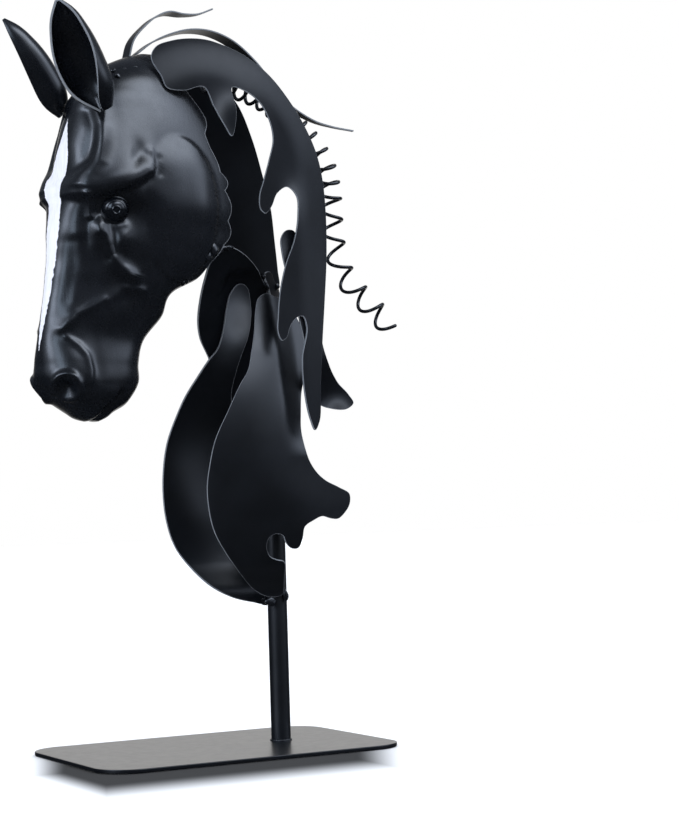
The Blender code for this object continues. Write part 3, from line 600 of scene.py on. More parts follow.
# The rod's rounded ends, as how far in from its side and from its end
POST_ROUNDING = ((0.3, 0.0), (0.08, 0.15))
POST_SIDES, POST_ROWS = 64, 12
POST_END = 0.5
WELDED_GAP = 0.05
FOOT_WELD_SIZE, FOOT_WELD_RISE = 0.55, 0.2
FOOT_WELD_STEPS, FOOT_WELD_SIDES = 96, 12
# Waves of the weld's size: height, how many go round the rod, and where they start
FOOT_WELD_WAVES = ((0.07, 17, 0), (0.06, 5, 1))


def level_ways(turn):
    """Level unit vectors at angles round the upright."""
    return np.column_stack((np.cos(turn), np.sin(turn), 0 * turn))


def make_base(paint):
    """Rectangle with a quarter circle at each corner, its edges rounded over."""
    half = np.array((BASE_LENGTH / 2 - BASE_CORNER, BASE_WIDTH / 2 - BASE_CORNER))
    angle = np.arange(0, 360, CORNER_STEP)
    side = np.column_stack((np.where((angle < 90) | (angle >= 270), 1, -1), np.where(angle < 180, 1, -1)))
    outward = level_ways(np.radians(angle))
    outline = side * half + BASE_CORNER * outward[:, :2]
    flat, triangles = fill(outline, None)
    floor = -FIGURE_ORIGIN[2]
    centre = flat - FIGURE_ORIGIN[:2]
    top = np.column_stack((centre, np.full(len(flat), floor + BASE_THICKNESS)))
    low = np.column_stack((centre, np.full(len(flat), floor)))
    points, faces, leans, marks = walled(top, low, [triangles], np.arange(len(outline)), outward, BASE_EDGE)
    up = np.tile((0.0, 0.0, 1.0), (len(flat), 1))
    # The scaled edge mark gives a weaker painted highlight along the plate's rim
    put_mesh("base_plate_steel", points, faces, satin("base_paint", paint.base_roughness, wave=0.1),
             PAINT_SLOT, "base_plate", np.vstack([up, -up] + leans), {"edge": marks * BASE_EDGE_HIGHLIGHT})


def make_post(paint):
    """The rod is turned from a profile with slightly rounded ends; a low ring of weld holds it,
    whose size is a sum of sines of the angle round the rod."""
    foot = -FIGURE_ORIGIN[2] + BASE_THICKNESS
    low = foot + WELDED_GAP
    profile = [(0, low)] + [(POST_RADIUS - inset, low + rise) for inset, rise in POST_ROUNDING]
    profile += [(POST_RADIUS, z) for z in np.linspace(foot + POST_END, POST_TOP - POST_END, POST_ROWS)]
    profile += [(POST_RADIUS - inset, POST_TOP - drop) for inset, drop in POST_ROUNDING[::-1]]
    profile += [(0, POST_TOP)]
    finish = satin("post_paint", paint.roughness, edges=False)
    put_mesh("post_rod", *turned(profile, POST_SIDES), finish, PAINT_SLOT, "post")
    turn = np.arange(FOOT_WELD_STEPS) * FULL_TURN / FOOT_WELD_STEPS
    ring = level_ways(turn)
    size = FOOT_WELD_SIZE + sum(height * np.sin(times * turn + start)
                                for height, times, start in FOOT_WELD_WAVES)
    middle = ring * (POST_RADIUS + WELDED_GAP) + np.array((0.0, 0.0, foot + FOOT_WELD_RISE))
    bead_ring = tube(middle, size, ring, FOOT_WELD_SIDES, closed=True)
    put_mesh("post_foot_weld", *bead_ring, finish, PAINT_SLOT)


# Chest

SHEET = 1.2
GAP = 0.3
CHEST_HEIGHTS = (-5, 3, 20, 45, 70, 100, 125, 140, 165)
CHEST_SPREAD = (-0.2, 0, 10.5, 18, 21, 20, 14, 9, 1.5)
CHEST_MIDDLE = (2, -2, -8, -14, -18, -16, -10, -6, -6)
CHEST_ROLL, ROLL_WIDTH, ROLL_UP = 7, 26, (10, 70)
TURNED_IN, TURNED_IN_BACK, TURNED_IN_UP = 5, (-8, 10), (72, 92)


def chest_side(x, z):
    """Distance of a chest plate's middle from the plane of symmetry: the spread at its height
    less a bell-shaped roll away from its middle line."""
    away = (x - through(CHEST_HEIGHTS, CHEST_MIDDLE, z)) / ROLL_WIDTH
    roll = CHEST_ROLL * (1 - bell(away)) * fade(z, *ROLL_UP)
    return POST_RADIUS + SHEET / 2 + GAP + through(CHEST_HEIGHTS, CHEST_SPREAD, z) - roll


def near_chest_side(x, z):
    """The near plate's rear edge is turned in, towards the plane of symmetry."""
    return TURNED_IN * fade(x, *TURNED_IN_BACK) * fade(z, *TURNED_IN_UP) - chest_side(x, z)


LEFT_CHEST = (
    (-13.2, 149), (-11.3, 153.5), (-7, 156), (-0.4, 154.7), (5, 153.3), (11, 147.5), (15, 138), (14.5, 127),
    (12, 114), (8.5, 104), (6.8, 92), (6, 83), (8, 72.5), (13, 65), (18.5, 60.5), (27, 56.5), (33, 53),
    (33, 48), (30.5, 44), (26, 40.5), (22, 40.7), (16.5, 42), (11, 40), (6, 37), (5, 31), (3, 26.5),
    (-1, 26.5), (-4.5, 29.5), (-6.5, 33), (-11, 34), (-14.5, 32), (-15, 27.5), (-12.5, 23), (-8, 21),
    (-4, 20), (-1.5, 13), (0, 3), (-8, 2), (-15.5, 5.5), (-25, 13), (-36.7, 25), (-43.5, 35.5),
    (-46.5, 45.5), (-47.7, 57.5), (-46.5, 68), (-43.5, 81), (-36, 96), (-28.5, 109), (-23.5, 116),
    (-19.7, 126.5), (-16.5, 136),
)

RIGHT_CHEST = (
    (-8, 161.3), (-11, 163), (-14, 162.5), (-18, 157.6), (-19.3, 152), (-20.3, 137.5), (-22, 130),
    (-26.4, 124.5), (-33.2, 114.5), (-38.6, 106.2), (-43.8, 95.6), (-49.5, 81.8), (-52.5, 67),
    (-53.1, 54.7), (-51.8, 41), (-48, 28.3), (-41.5, 18), (-33.7, 8.5), (-23.2, 2.3), (-11, -1),
    (-3.5, -2), (-2, 6), (-3, 14), (2, 24), (9, 35), (22, 38), (29, 43), (30, 50), (23, 57), (12, 63),
    (3, 73), (-3, 85), (-9, 98), (-11, 106), (-9.6, 117), (-7.2, 126.6), (-4.6, 136), (-4, 146),
    (-5.5, 155),
)

THROAT = (
    (-38, 174.5), (-34, 178), (-28, 178.8), (-17, 176.4), (-7, 172), (0.5, 166.6), (3.2, 162),
    (5, 157.5), (6, 146), (4, 133), (0, 120), (-4, 109), (-9, 103.5), (-15, 105), (-20, 114),
    (-25.6, 125), (-33.3, 135), (-37, 143.3), (-38.8, 152), (-39.5, 163),
)
THROAT_CORNER, THROAT_SLOPE = (-43, -20, 178), (0.376, -0.714)
THROAT_HOLLOW, HOLLOW_MIDDLE, HOLLOW_SIZE = 10, (-12, 154), (17, 17)
THROAT_LAP, LAP_BLEND = 0.8, 1.5
TONGUE_BACK, TONGUE_DOWN = (-26, -18), (170, 164)


def throat_side(x, z):
    """A slanting plane with a bell-shaped hollow in its middle, whose foot blends smoothly into
    a sheet that laps the outside of the right chest plate."""
    corner_x, corner_y, corner_z = THROAT_CORNER
    slant = corner_y + THROAT_SLOPE[0] * (x - corner_x) + THROAT_SLOPE[1] * (z - corner_z)
    free = slant + THROAT_HOLLOW * bell(stretched(x, z, HOLLOW_MIDDLE, HOLLOW_SIZE))
    lapped = chest_side(x, z) + SHEET + GAP + THROAT_LAP
    low = -LAP_BLEND * np.logaddexp(-free / LAP_BLEND, -lapped / LAP_BLEND)
    behind_tongue = fade(x, *TONGUE_BACK) * fade(z, *TONGUE_DOWN)
    return low + behind_tongue * (lapped - low)


NECK = (
    (-30, 269), (-18, 266.5), (-8, 259), (2, 242), (9, 222), (13.5, 205), (15.5, 188), (17, 172),
    (17.5, 164), (13, 159.5), (2, 159), (-12, 161), (-18, 168), (-20.5, 176), (-23, 182), (-32, 184),
    (-44, 187), (-52, 194), (-53, 206), (-47, 221), (-42, 236), (-44, 250), (-48, 260), (-48, 266),
    (-41, 269),
)
NECK_HEIGHTS, NECK_SPREAD = (150, 200, 240, 270), (22, 21.5, 19, 13)
NECK_LAP, LAP_FORWARD, LAP_DOWN = 1.4, (-26, -46), (236, 224)


def neck_side(x, z):
    """Leans in towards the poll with height, and a little outwards along its front edge."""
    in_head = fade(x, *LAP_FORWARD) * fade(z, *LAP_DOWN)
    return through(NECK_HEIGHTS, NECK_SPREAD, z) + NECK_LAP * in_head


NECK_TAB = (
    (2, 168.5), (6, 170.3), (9, 169), (11.5, 165.5), (15.5, 163.5), (16.5, 160), (15.5, 150),
    (11.5, 149), (8.5, 155), (5.5, 161),
)
TAB_START, TAB_SLOPE, TAB_CURVE = (2, 8.2), 0.72, 0.01


def tab_side(x, z):
    """A slope across the neck with a slight curve."""
    along = x - TAB_START[0]
    return TAB_START[1] + TAB_SLOPE * along + TAB_CURVE * along ** 2


# Mane

MANE = (
    (-72, 270), (-69, 275.5), (-61, 279), (-51, 281), (-41, 281), (-31, 278.5), (-22, 275), (-9, 266.5),
    (3, 253), (14, 236), (18.5, 226), (21.5, 214), (23, 196), (22.5, 174), (20, 152), (17, 130),
    (14.5, 108), (13, 90), (10, 85.5), (7, 91), (4, 104), (3.5, 122), (7, 138), (5, 143), (1, 142),
    (-2.5, 138), (-5, 132), (-7.5, 130.5), (-9.5, 134), (-9, 144), (-7, 157), (-3.5, 169), (2, 182),
    (4.5, 195), (4, 204), (-1, 208.5), (-7, 205), (-10.5, 198), (-14, 194.5), (-16.5, 196.5),
    (-17, 203), (-14.5, 211), (-11, 222), (-8.5, 232), (-10, 241), (-15, 250), (-23, 255.5),
    (-30.5, 257), (-28.5, 245), (-31.5, 232.5), (-35.5, 238), (-41, 247), (-46, 256), (-57, 253.5),
    (-66, 254.5), (-68, 260),
)
MANE_SPREAD, CREST_SPREAD, MANE_HUB, CREST_FROM_HUB = 26.6, 21.6, (-40, 217), (42, 66)
MANE_FLARE, FLARE_DOWN = 2.5, (190, 100)


def mane_side(x, z):
    """Leans in towards the crest along its outer edge, by the distance from a hub on the neck,
    and stands off further as it comes down to the chest."""
    from_hub = np.hypot(x - MANE_HUB[0], np.maximum(z - MANE_HUB[1], 0))
    lean = (MANE_SPREAD - CREST_SPREAD) * fade(from_hub, *CREST_FROM_HUB)
    return lean - MANE_SPREAD - MANE_FLARE * fade(z, *FLARE_DOWN)


LOCK = (
    (1, 187.5), (5, 187.5), (9, 178), (13, 160), (16, 143), (20, 124), (29, 111), (37, 104.5),
    (40.5, 100), (37, 97), (28, 97), (19, 100), (11, 112), (5, 135), (1, 155), (-3, 168), (-3.5, 176),
    (-2.5, 183.5),
)
LOCK_GAP = 0.3
# Curls of the lock: how far each stands off, and the heights between which it comes in
LOCK_CURLS = ((5, 165, 190), (9, 125, 97))


def lock_side(x, z):
    """Lies against the mane plate's back and curls away from it at both ends."""
    curl = sum(far * fade(z, start, end) for far, start, end in LOCK_CURLS)
    return mane_side(x, z) + SHEET + GAP + LOCK_GAP + curl


# Each ribbon: where its two edges start in y, and its route in x and z
RIBBONS = {
    "crest_ribbon": (-6, 4, (
        (-72, 275.1), (-63, 282), (-54, 286.5), (-42, 290), (-31, 290), (-21, 287), (-7, 277),
        (3, 266), (12, 256), (20, 251), (28, 247.5), (37, 245.5), (50, 244))),
    "forelock_ribbon": (-4, 6, (
        (-75.5, 273.6), (-73, 282), (-66, 290.5), (-60, 295.5), (-53, 298.5), (-45, 298),
        (-38, 298.5), (-29, 302))),
}
RIBBON_TAPER, TAPER_FROM = 0.85, 0.55
RIBBON_ROWS, RIBBON_COLUMNS = 160, 11


def ribbon_grid(near, far, route):
    """A strip laid crosswise on a route in x and z, which narrows towards its free end."""
    route = np.asarray(route, float)
    along = run_along(route)
    at = np.linspace(0, along[-1], RIBBON_ROWS)
    x, z = (through(along, route[:, axis], at)[:, None] for axis in (0, 1))
    taper = 1 - RIBBON_TAPER * fade(at / along[-1], TAPER_FROM, 1)
    y = near + np.linspace(0, 1, RIBBON_COLUMNS) * (far - near) * taper[:, None]
    return np.stack(np.broadcast_arrays(x, y, z), axis=-1)


# The middle of the coil, one turn from each point to the next
SPRING_ROUTE = (
    (-42, -16.3, 262), (-36, -16.3, 261.3), (-29.8, -16.3, 260.4), (-23.5, -16.3, 259.3),
    (-17.2, -16.3, 257.8), (-10.4, -16.3, 255.4), (-4.3, -16.3, 252.2), (1.2, -16.3, 248.4),
    (6.8, -16.2, 244.3), (12.4, -16, 240), (18, -15.3, 235.3), (24.6, -13.5, 228.4), (30, -10.7, 221.2),
    (33.3, -7.5, 214.3), (35.7, -4.7, 206.4), (37.4, -2.1, 195.7), (39.8, 0, 183.2), (45.6, 1.6, 169),
    (55.2, 2.4, 158.3), (65.6, 2.6, 149.1), (75.8, 2.6, 139.1),
)
TURN_STEPS, WIRE_SIDES = 40, 14


def spring_path(settings):
    """The wire's middle: a circle of the coil's radius turned about a curved line that has one
    turn between each pair of its points. Returns the path and the way out of the coil."""
    route = np.asarray(SPRING_ROUTE, float)
    turn = np.linspace(0, settings.turns, int(settings.turns * TURN_STEPS) + 1)
    number = np.arange(len(route))
    centre = np.column_stack([through(number, route[:, axis], turn) for axis in range(3)])
    ahead = unit_rows(np.gradient(centre, axis=0))
    across = unit_rows(np.array((0.0, 1.0, 0.0)) - ahead[:, 1:2] * ahead)
    outwards = np.cross(ahead, across)
    angle = turn * FULL_TURN
    out = np.cos(angle)[:, None] * outwards + np.sin(angle)[:, None] * across
    return centre + out * (settings.coil - settings.wire) / 2 / UNIT, out


# Head

# Each station is a level section: its height, how far forward the face is, where the head is
# widest, half its width, where it would close behind, how square it is in front and behind,
# and where the sheet really ends behind.
HEAD_STATIONS = np.array((
    (274.6, 12, 6, 2.5, 0, 2.0, 2.0, 4),
    (272.5, 19, 8, 6.0, -4, 2.0, 2.0, 4),
    (268.5, 29, 12, 11.0, -10, 2.0, 2.0, 4),
    (261, 41, 16, 16.5, -20, 2.1, 2.2, 2),
    (252, 49, 16, 20.5, -28, 2.1, 2.2, -2),
    (240, 54, 15, 24.5, -34, 2.1, 2.3, -10),
    (226, 58.5, 16, 28.0, -38, 2.3, 2.4, -8),
    (212, 59.5, 18, 30.5, -42, 2.6, 2.5, -17),
    (203, 60.2, 17, 31.0, -42, 2.9, 2.5, -19),
    (195, 64, 14, 31.0, -42, 2.4, 2.5, -20),
    (185, 66, 12, 30.0, -40, 2.1, 2.5, -20),
    (175, 67, 11, 29.0, -34, 2.0, 2.7, -16),
    (168, 67.5, 12, 27.5, -21, 2.0, 2.8, -10),
    (161, 68.5, 18, 25.5, -10, 2.0, 2.8, -6),
    (155, 69.3, 22, 23.5, 3.5, 2.0, 2.8, 3.5),
    (142, 71.7, 30, 20.0, 10, 2.0, 2.8, 10),
    (130, 73.8, 36, 18.0, 20.5, 2.1, 2.6, 20.5),
    (119, 74.5, 42, 19.0, 23.3, 2.2, 2.5, 23.3),
    (109, 73.5, 46, 19.5, 23.5, 2.2, 2.5, 23.5),
    (101, 65.5, 47, 18.0, 29.5, 2.1, 2.3, 29.5),
    (95.5, 57.5, 47, 13.5, 37.5, 2.0, 2.2, 37.5),
    (92.5, 53, 46, 9.0, 41, 2.0, 2.0, 41),
    (91.2, 50, 46, 4.0, 43, 2.0, 2.0, 43),
))
FRONT, WIDEST, HALF_WIDTH, BACK, SQUARE_FRONT, SQUARE_BACK, SHEET_END = range(1, 8)
HEAD_CLOSES_BELOW, HEAD_OPEN_ABOVE = 157, 162
SCALLOP_NOTCHES = (264, 233, 214, 205, 190, 178)
SCALLOP_DEPTH = 3.5
# Bands of rows from the top down, and of columns from the face's middle line to the sheet's end:
# where each begins and how far apart its rows or columns are
HEAD_BANDS = ((274.6, 0.9), (262, 1.0), (204, 0.55), (178, 1.0), (118, 0.65), (91.2, 0))
SWEEP_BANDS = ((0.0, 0.0085), (0.27, 0.0062), (0.56, 0.0155), (1.0, 0))

BROW_LINE = ((14, 224), (20, 218), (26.5, 212.8), (30, 209.3), (40.7, 203.3), (49.7, 200.3), (56, 199),
             (66, 199.5))
# The shelf's height, how wide it is above and below its line, and where it fades in and out
BROW_HEIGHT, BROW_ABOVE, BROW_BELOW, BROW_REACH = 2.4, 11, 2.2, ((22, 32), (68, 60))
EYE, EYE_SIZE, EYE_HEIGHT = (45.5, 190.8), (7.5, 7.5), 5.0
# The eyeball's radius, how far it stands out of the plain head, and how far it looks forward and up
EYE_BALL, EYE_STANDS, EYE_LOOKS = 7.0, 1.1, (0.05, 0.0)
# Rings on the eyeball: height, angle from the middle and half width; and the sunk pupil's edge
EYE_RINGS = ((0.16, 0.27, 0.035), (-0.18, 0.66, 0.035))
PUPIL_DEPTH, PUPIL_EDGE = 0.3, (0.24, 0.19)
# Rows of the eyeball by their angle from its middle, fine only where they show
EYE_ROWS, EYE_SIDES = ((math.pi, 0.9, 20), (0.88, 0, 90)), 72
EYE_SLOPE_STEP = 0.1
NOSTRIL = (67.4, 11.8, 106.7)
# Bell curves of the distance from the nostril's middle: height, radius and half width
NOSTRIL_BROAD = ((1.5, 6.2, 1.8), (-3.0, 0.0, 4.0))
NOSTRIL_FINE = ((0.5, 6.3, 1.2), (-0.5, 0.0, 3.2))
CHEEK, CHEEK_SIZE, CHEEK_HEIGHT, CHEEK_POWER = (9, 197), (23, 34), 3.0, 1.2

# Mounds and hollows of the pressing: height, middle in p and z, half sizes and turn
BROAD_HILLS = (
    (-3.6, (45, 191), (13, 8.5), 0.0),
    (-1.3, (55, 222), (4, 11), 0.0),
    (-1.0, (30, 217), (3, 7), -0.4),
    (-1.4, (57, 160), (6, 18), 0.0),
    (-1.6, (47, 136), (14, 9), 0.0),
    (1.6, (62, 114), (9, 12), 0.0),
    (0.8, (33, 98), (5, 4), 0.0),
)
# Ridges of the pressing: height, half width and the line in p and z
BROAD_RIDGES = (
    (1.8, 3.5, ((47, 246), (47, 239), (47.5, 232), (49.3, 224.6), (52.3, 214.3), (56.8, 207.7), (58, 203))),
    (1.8, 3.2, ((52, 184), (49.8, 176.8), (46.6, 169.5), (43.2, 165), (36.3, 159.6))),
    (1.0, 3.0, ((67.6, 134.6), (61, 141.6), (49, 148.6), (39.5, 154.4), (30.3, 153.7))),
    (-1.4, 1.8, ((47, 91), (46, 96), (40, 103))),
)


def graded(bands):
    """Values from the first band's start to the last one's, a band's step apart."""
    parts = []
    for (start, step), (end, _) in zip(bands, bands[1:]):
        parts.append(np.linspace(start, end, max(1, round(abs(end - start) / step)), endpoint=False))
    return np.concatenate(parts + [[bands[-1][0]]])


def line_distance(line, p, z):
    """Distance from an open line of points in the side view."""
    line = np.asarray(line, float)
    nearest = np.full(np.shape(p), np.inf)
    for start, end in zip(line[:-1], line[1:]):
        way = end - start
        t = np.clip(((p - start[0]) * way[0] + (z - start[1]) * way[1]) / (way @ way), 0.0, 1.0)
        nearest = np.minimum(nearest, np.hypot(p - start[0] - t * way[0], z - start[1] - t * way[1]))
    return nearest


def carved(p, z, hills, ridges):
    """Sum of mounds and of ridges: bell curves of the distance from middles and from lines."""
    relief = sum(height * bell(stretched(p, z, *shape)) for height, *shape in hills)
    return relief + sum(height * bell(line_distance(line, p, z) / width) for height, width, line in ridges)


def nostril(p, l, z, rings):
    """Sum of bell curves of the distance from the middle of the nearer nostril."""
    away = np.sqrt((p - NOSTRIL[0]) ** 2 + (np.abs(l) - NOSTRIL[1]) ** 2 + (z - NOSTRIL[2]) ** 2)
    return sum(height * bell((away - radius) / width) for height, radius, width in rings)


def broad_relief(p, l, z):
    """How far the pressing stands out of the plain head: the sum of its mounds and ridges, the
    shelf of the brow, the ball of the eye, the disc of the cheek and the nostril."""
    above = z - through(*np.transpose(BROW_LINE), p)
    brow = BROW_HEIGHT * bell(above / np.where(above > 0, BROW_ABOVE, BROW_BELOW))
    brow *= fade(p, *BROW_REACH[0]) * fade(p, *BROW_REACH[1])
    cheek = np.maximum(1 - stretched(p, z, CHEEK, CHEEK_SIZE) ** 2, 0.0) ** CHEEK_POWER
    relief = brow + eye_dome(p, z) + CHEEK_HEIGHT * cheek + nostril(p, l, z, NOSTRIL_BROAD)
    return relief + carved(p, z, BROAD_HILLS, BROAD_RIDGES)


def moved(line, p, z):
    """A line of points shifted in the side view."""
    return tuple((a + p, b + z) for a, b in line)


FOREHEAD_LINE = ((47, 240), (47.5, 231.9), (49.3, 224.6), (52.5, 215.4), (56.6, 208), (58.3, 203))
CREASE_LINE = ((67.6, 134.6), (61.1, 141.6), (49, 148.6), (39.5, 154.4), (30.3, 153.7))
# The step round the cheek: its ellipse, how high and how wide it is, and where it fades in
CHEEK_RIM, CHEEK_RIM_SIZE, RIM_HEIGHT, RIM_WIDTH = (10, 194), (21.5, 36), 1.0, 0.035
RIM_BACK, RIM_BELOW, RIM_BELOW_BACK = (12, -2), (178, 166), (30, 20)
# Details of the pressing, in the same form as its mounds and ridges
FINE_HILLS = (
    (-1.6, (45.5, 191), (9.5, 7.5), 0.0),
    (-1.0, (35.5, 216), (2.6, 5.5), 0.38),
    (1.0, (52, 180), (3.0, 5.5), -0.2),
    (1.0, (41, 178), (3.2, 5.5), 0.35),
    (-0.9, (57.5, 178), (2.4, 8.0), 0.0),
    (0.9, (35.0, 195.5), (3.4, 3.6), 0.3),
    (2.6, (46, 139), (13, 12), 0.0),
    (-0.7, (54, 118), (3.0, 10.0), 0.0),
)
FINE_RIDGES = (
    (0.7, 1.7, ((52.5, 192), (51, 195.6), (46.5, 197.8), (41, 196.6))),
    (0.5, 1.7, ((51.5, 187), (49.5, 184.6), (45.8, 183.2), (41, 184.5))),
    (1.5, 1.4, ((57, 198), (56.6, 193), (56.3, 188))),
    (-0.7, 2.4, moved(BROW_LINE[3:5], 0, -2.8)),
    (-0.8, 1.6, ((24.6, 217), (24.8, 209))),
    (0.6, 1.8, ((28.0, 220), (28.2, 214), (28.2, 209.5))),
    (0.4, 2.0, FOREHEAD_LINE),
    (-1.0, 2.0, moved(FOREHEAD_LINE, 3.4, 0.5)),
    (-0.9, 3.2, ((49.8, 176.8), (46.6, 169.5), (43.2, 165))),
    (-0.8, 2.0, ((51.5, 178), (50.3, 173.2), (48.3, 168))),
    (-0.9, 1.9, ((46.8, 183), (45.7, 177.2), (45.6, 171))),
    (0.35, 2.2, ((46.0, 169), (43.2, 165.6), (38.3, 161.4), (33.4, 158.1))),
    (-0.6, 3.0, ((62.2, 176), (62.2, 165), (63.3, 157.8), (65.2, 148.2))),
    (0.4, 3.2, ((58.6, 180), (58.6, 169.5), (60.0, 160), (62.4, 147.8), (65.8, 137.8))),
    (-0.4, 3.0, CREASE_LINE[1:]),
    (0.5, 1.5, CREASE_LINE[:3]),
    (0.5, 1.5, ((39.5, 154.4), (33, 154), (29, 153))),
    (0.8, 1.6, ((66.2, 130.6), (61.5, 126.5), (58.6, 121.8), (57.8, 115), (58.3, 109))),
    (-0.8, 1.1, ((48, 93), (46.6, 97.2), (42.5, 101.5), (40.5, 105))),
)


def eye_dome(p, z):
    """Mound of the eye: (1 - r²) to the power 1.5."""
    return EYE_HEIGHT * np.maximum(1 - stretched(p, z, EYE, EYE_SIZE) ** 2, 0.0) ** 1.5


def fine_relief(p, l, z):
    """Detail added to the pressing: lids, creases and facets as bell curves about points and
    lines, a crisp step round the back of the cheek and the rim and hole of the nostril. The
    mound of the eye is taken away again, because an eyeball of its own sits there."""
    within = 1 - stretched(p, z, CHEEK_RIM, CHEEK_RIM_SIZE)
    behind = np.maximum(fade(p, *RIM_BACK), fade(z, *RIM_BELOW) * fade(p, *RIM_BELOW_BACK))
    step = RIM_HEIGHT * behind * fade(within, 0, RIM_WIDTH)
    return carved(p, z, FINE_HILLS, FINE_RIDGES) - eye_dome(p, z) + step + nostril(p, l, z, NOSTRIL_FINE)


def station(z, *columns):
    """The head's stations read between their heights, one column after the other."""
    return (through(HEAD_STATIONS[::-1, 0], HEAD_STATIONS[::-1, column], z) for column in columns)


def side_of_head(p, z):
    """Half width of the plain head at a point of the side view, ahead of its widest place."""
    front, widest, half_width, square = station(z, FRONT, WIDEST, HALF_WIDTH, SQUARE_FRONT)
    return half_width * (1 - ((p - widest) / (front - widest)) ** square) ** (1 / square)


def make_eyes(paint):
    """Both eyeballs: spheres with a sunk pupil, a raised ring round it and a fine groove round
    the iris, turned about the way straight out of the head's side."""
    p, z = EYE
    lean = [(side_of_head(p + a, z + b) - side_of_head(p - a, z - b)) / (2 * EYE_SLOPE_STEP)
            for a, b in ((EYE_SLOPE_STEP, 0), (0, EYE_SLOPE_STEP))]
    angle = np.concatenate([np.linspace(*rows) for rows in EYE_ROWS])
    radius = EYE_BALL + sum(height * bell((angle - at) / width) for height, at, width in EYE_RINGS)
    radius -= PUPIL_DEPTH * fade(angle, *PUPIL_EDGE)
    profile = np.column_stack((radius * np.sin(angle), radius * np.cos(angle)))
    finish = satin("eye_paint", paint.eye_roughness, edges=False, wave=0.0)
    for name, side in (("left_eye_ball", 1), ("right_eye_ball", -1)):
        out = unit_rows(np.array((-lean[0] + EYE_LOOKS[0], side, -lean[1] + EYE_LOOKS[1])))
        straight = unit_rows(np.array((-lean[0], side, -lean[1])))
        place = np.array((p, side * side_of_head(p, z), z)) + straight * (EYE_STANDS - EYE_BALL)
        points, faces = turned(profile, EYE_SIDES, place, out)
        put_mesh(name, to_figure(points), faces, finish, GLOSS_SLOT)


def head_edge(z):
    """Where the sheet ends behind: a row of scallops, half sines between the notches."""
    (edge,) = station(z, SHEET_END)
    notches = np.array(SCALLOP_NOTCHES[::-1], float)
    i = np.clip(np.searchsorted(notches, z, side="right") - 1, 0, len(notches) - 2)
    share = np.clip((z - notches[i]) / (notches[i + 1] - notches[i]), 0.0, 1.0)
    return edge - SCALLOP_DEPTH * np.sin(math.pi * share)


def plain_head(rows, sweep):
    """The head without its carving. A section is a stretched circle whose quarters are more or
    less square: p and l go as the 2/square powers of cosine and sine."""
    rows = rows[:, None]
    front, widest, half_width, back, square_front, square_back = station(
        rows, FRONT, WIDEST, HALF_WIDTH, BACK, SQUARE_FRONT, SQUARE_BACK)
    edge = head_edge(rows)
    reach = np.clip((widest - edge) / (widest - back), 0.0, 1.0) ** (square_back / 2)
    last = math.pi - np.arccos(reach) * fade(rows, HEAD_CLOSES_BELOW, HEAD_OPEN_ABOVE)
    angle = np.abs(sweep)[None, :] * last
    cosine, sine = np.cos(angle), np.sin(angle)
    power = 2 / np.where(cosine > 0, square_front, square_back)
    reach_p = np.where(cosine > 0, front - widest, back - widest)
    p = widest + reach_p * np.abs(cosine) ** power
    l = half_width * np.abs(sine) ** power * np.sign(sweep)[None, :]
    return np.stack((p, l, np.broadcast_to(rows, p.shape)), axis=-1), p > widest


def to_figure(points):
    """Head coordinates turned into the figure's."""
    c, s = math.cos(HEAD_TURN), math.sin(HEAD_TURN)
    p, l, z = points[..., 0], points[..., 1], points[..., 2]
    return np.stack((s * l - c * p, -s * p - c * l, z), axis=-1) + HEAD_ORIGIN


# The blaze's two borders, as how far left of the nose's crest they lie at each height
BLAZE_HEIGHTS = (124, 130, 139, 153, 169, 182, 193, 203, 210, 218, 227, 233, 238)
BLAZE_NEAR = (-0.4, 0.4, 1.8, 2.8, 3.9, 5.1, 4.9, 3.2, 3.8, 4.3, 3.0, 0.8, -1.2)
BLAZE_FAR = (-0.4, -1.4, -2.6, -4.0, -5.0, -5.6, -5.9, -10.4, -11.6, -8.0, -3.4, -2.0, -1.2)
NO_BLAZE = -5.0


def blaze_mark(l, z, ahead):
    """Distance in from the edge of the blaze, which lies between two curves down the face."""
    near, far = through(BLAZE_HEIGHTS, BLAZE_NEAR, z), through(BLAZE_HEIGHTS, BLAZE_FAR, z)
    inward = np.minimum.reduce((near - l, l - far, BLAZE_HEIGHTS[-1] - z, z - BLAZE_HEIGHTS[0]))
    return np.where(ahead, inward, NO_BLAZE)


def lidded(points, ring, way):
    """A ring of point numbers closed by a fan of triangles round its middle, a new point. Where
    the seam has joined two of its points there is no triangle."""
    fan = np.column_stack((ring[:-1], ring[1:], np.full(len(ring) - 1, len(points))))
    return np.vstack((points, points[ring].mean(axis=0))), fan[ring[:-1] != ring[1:], ::way]


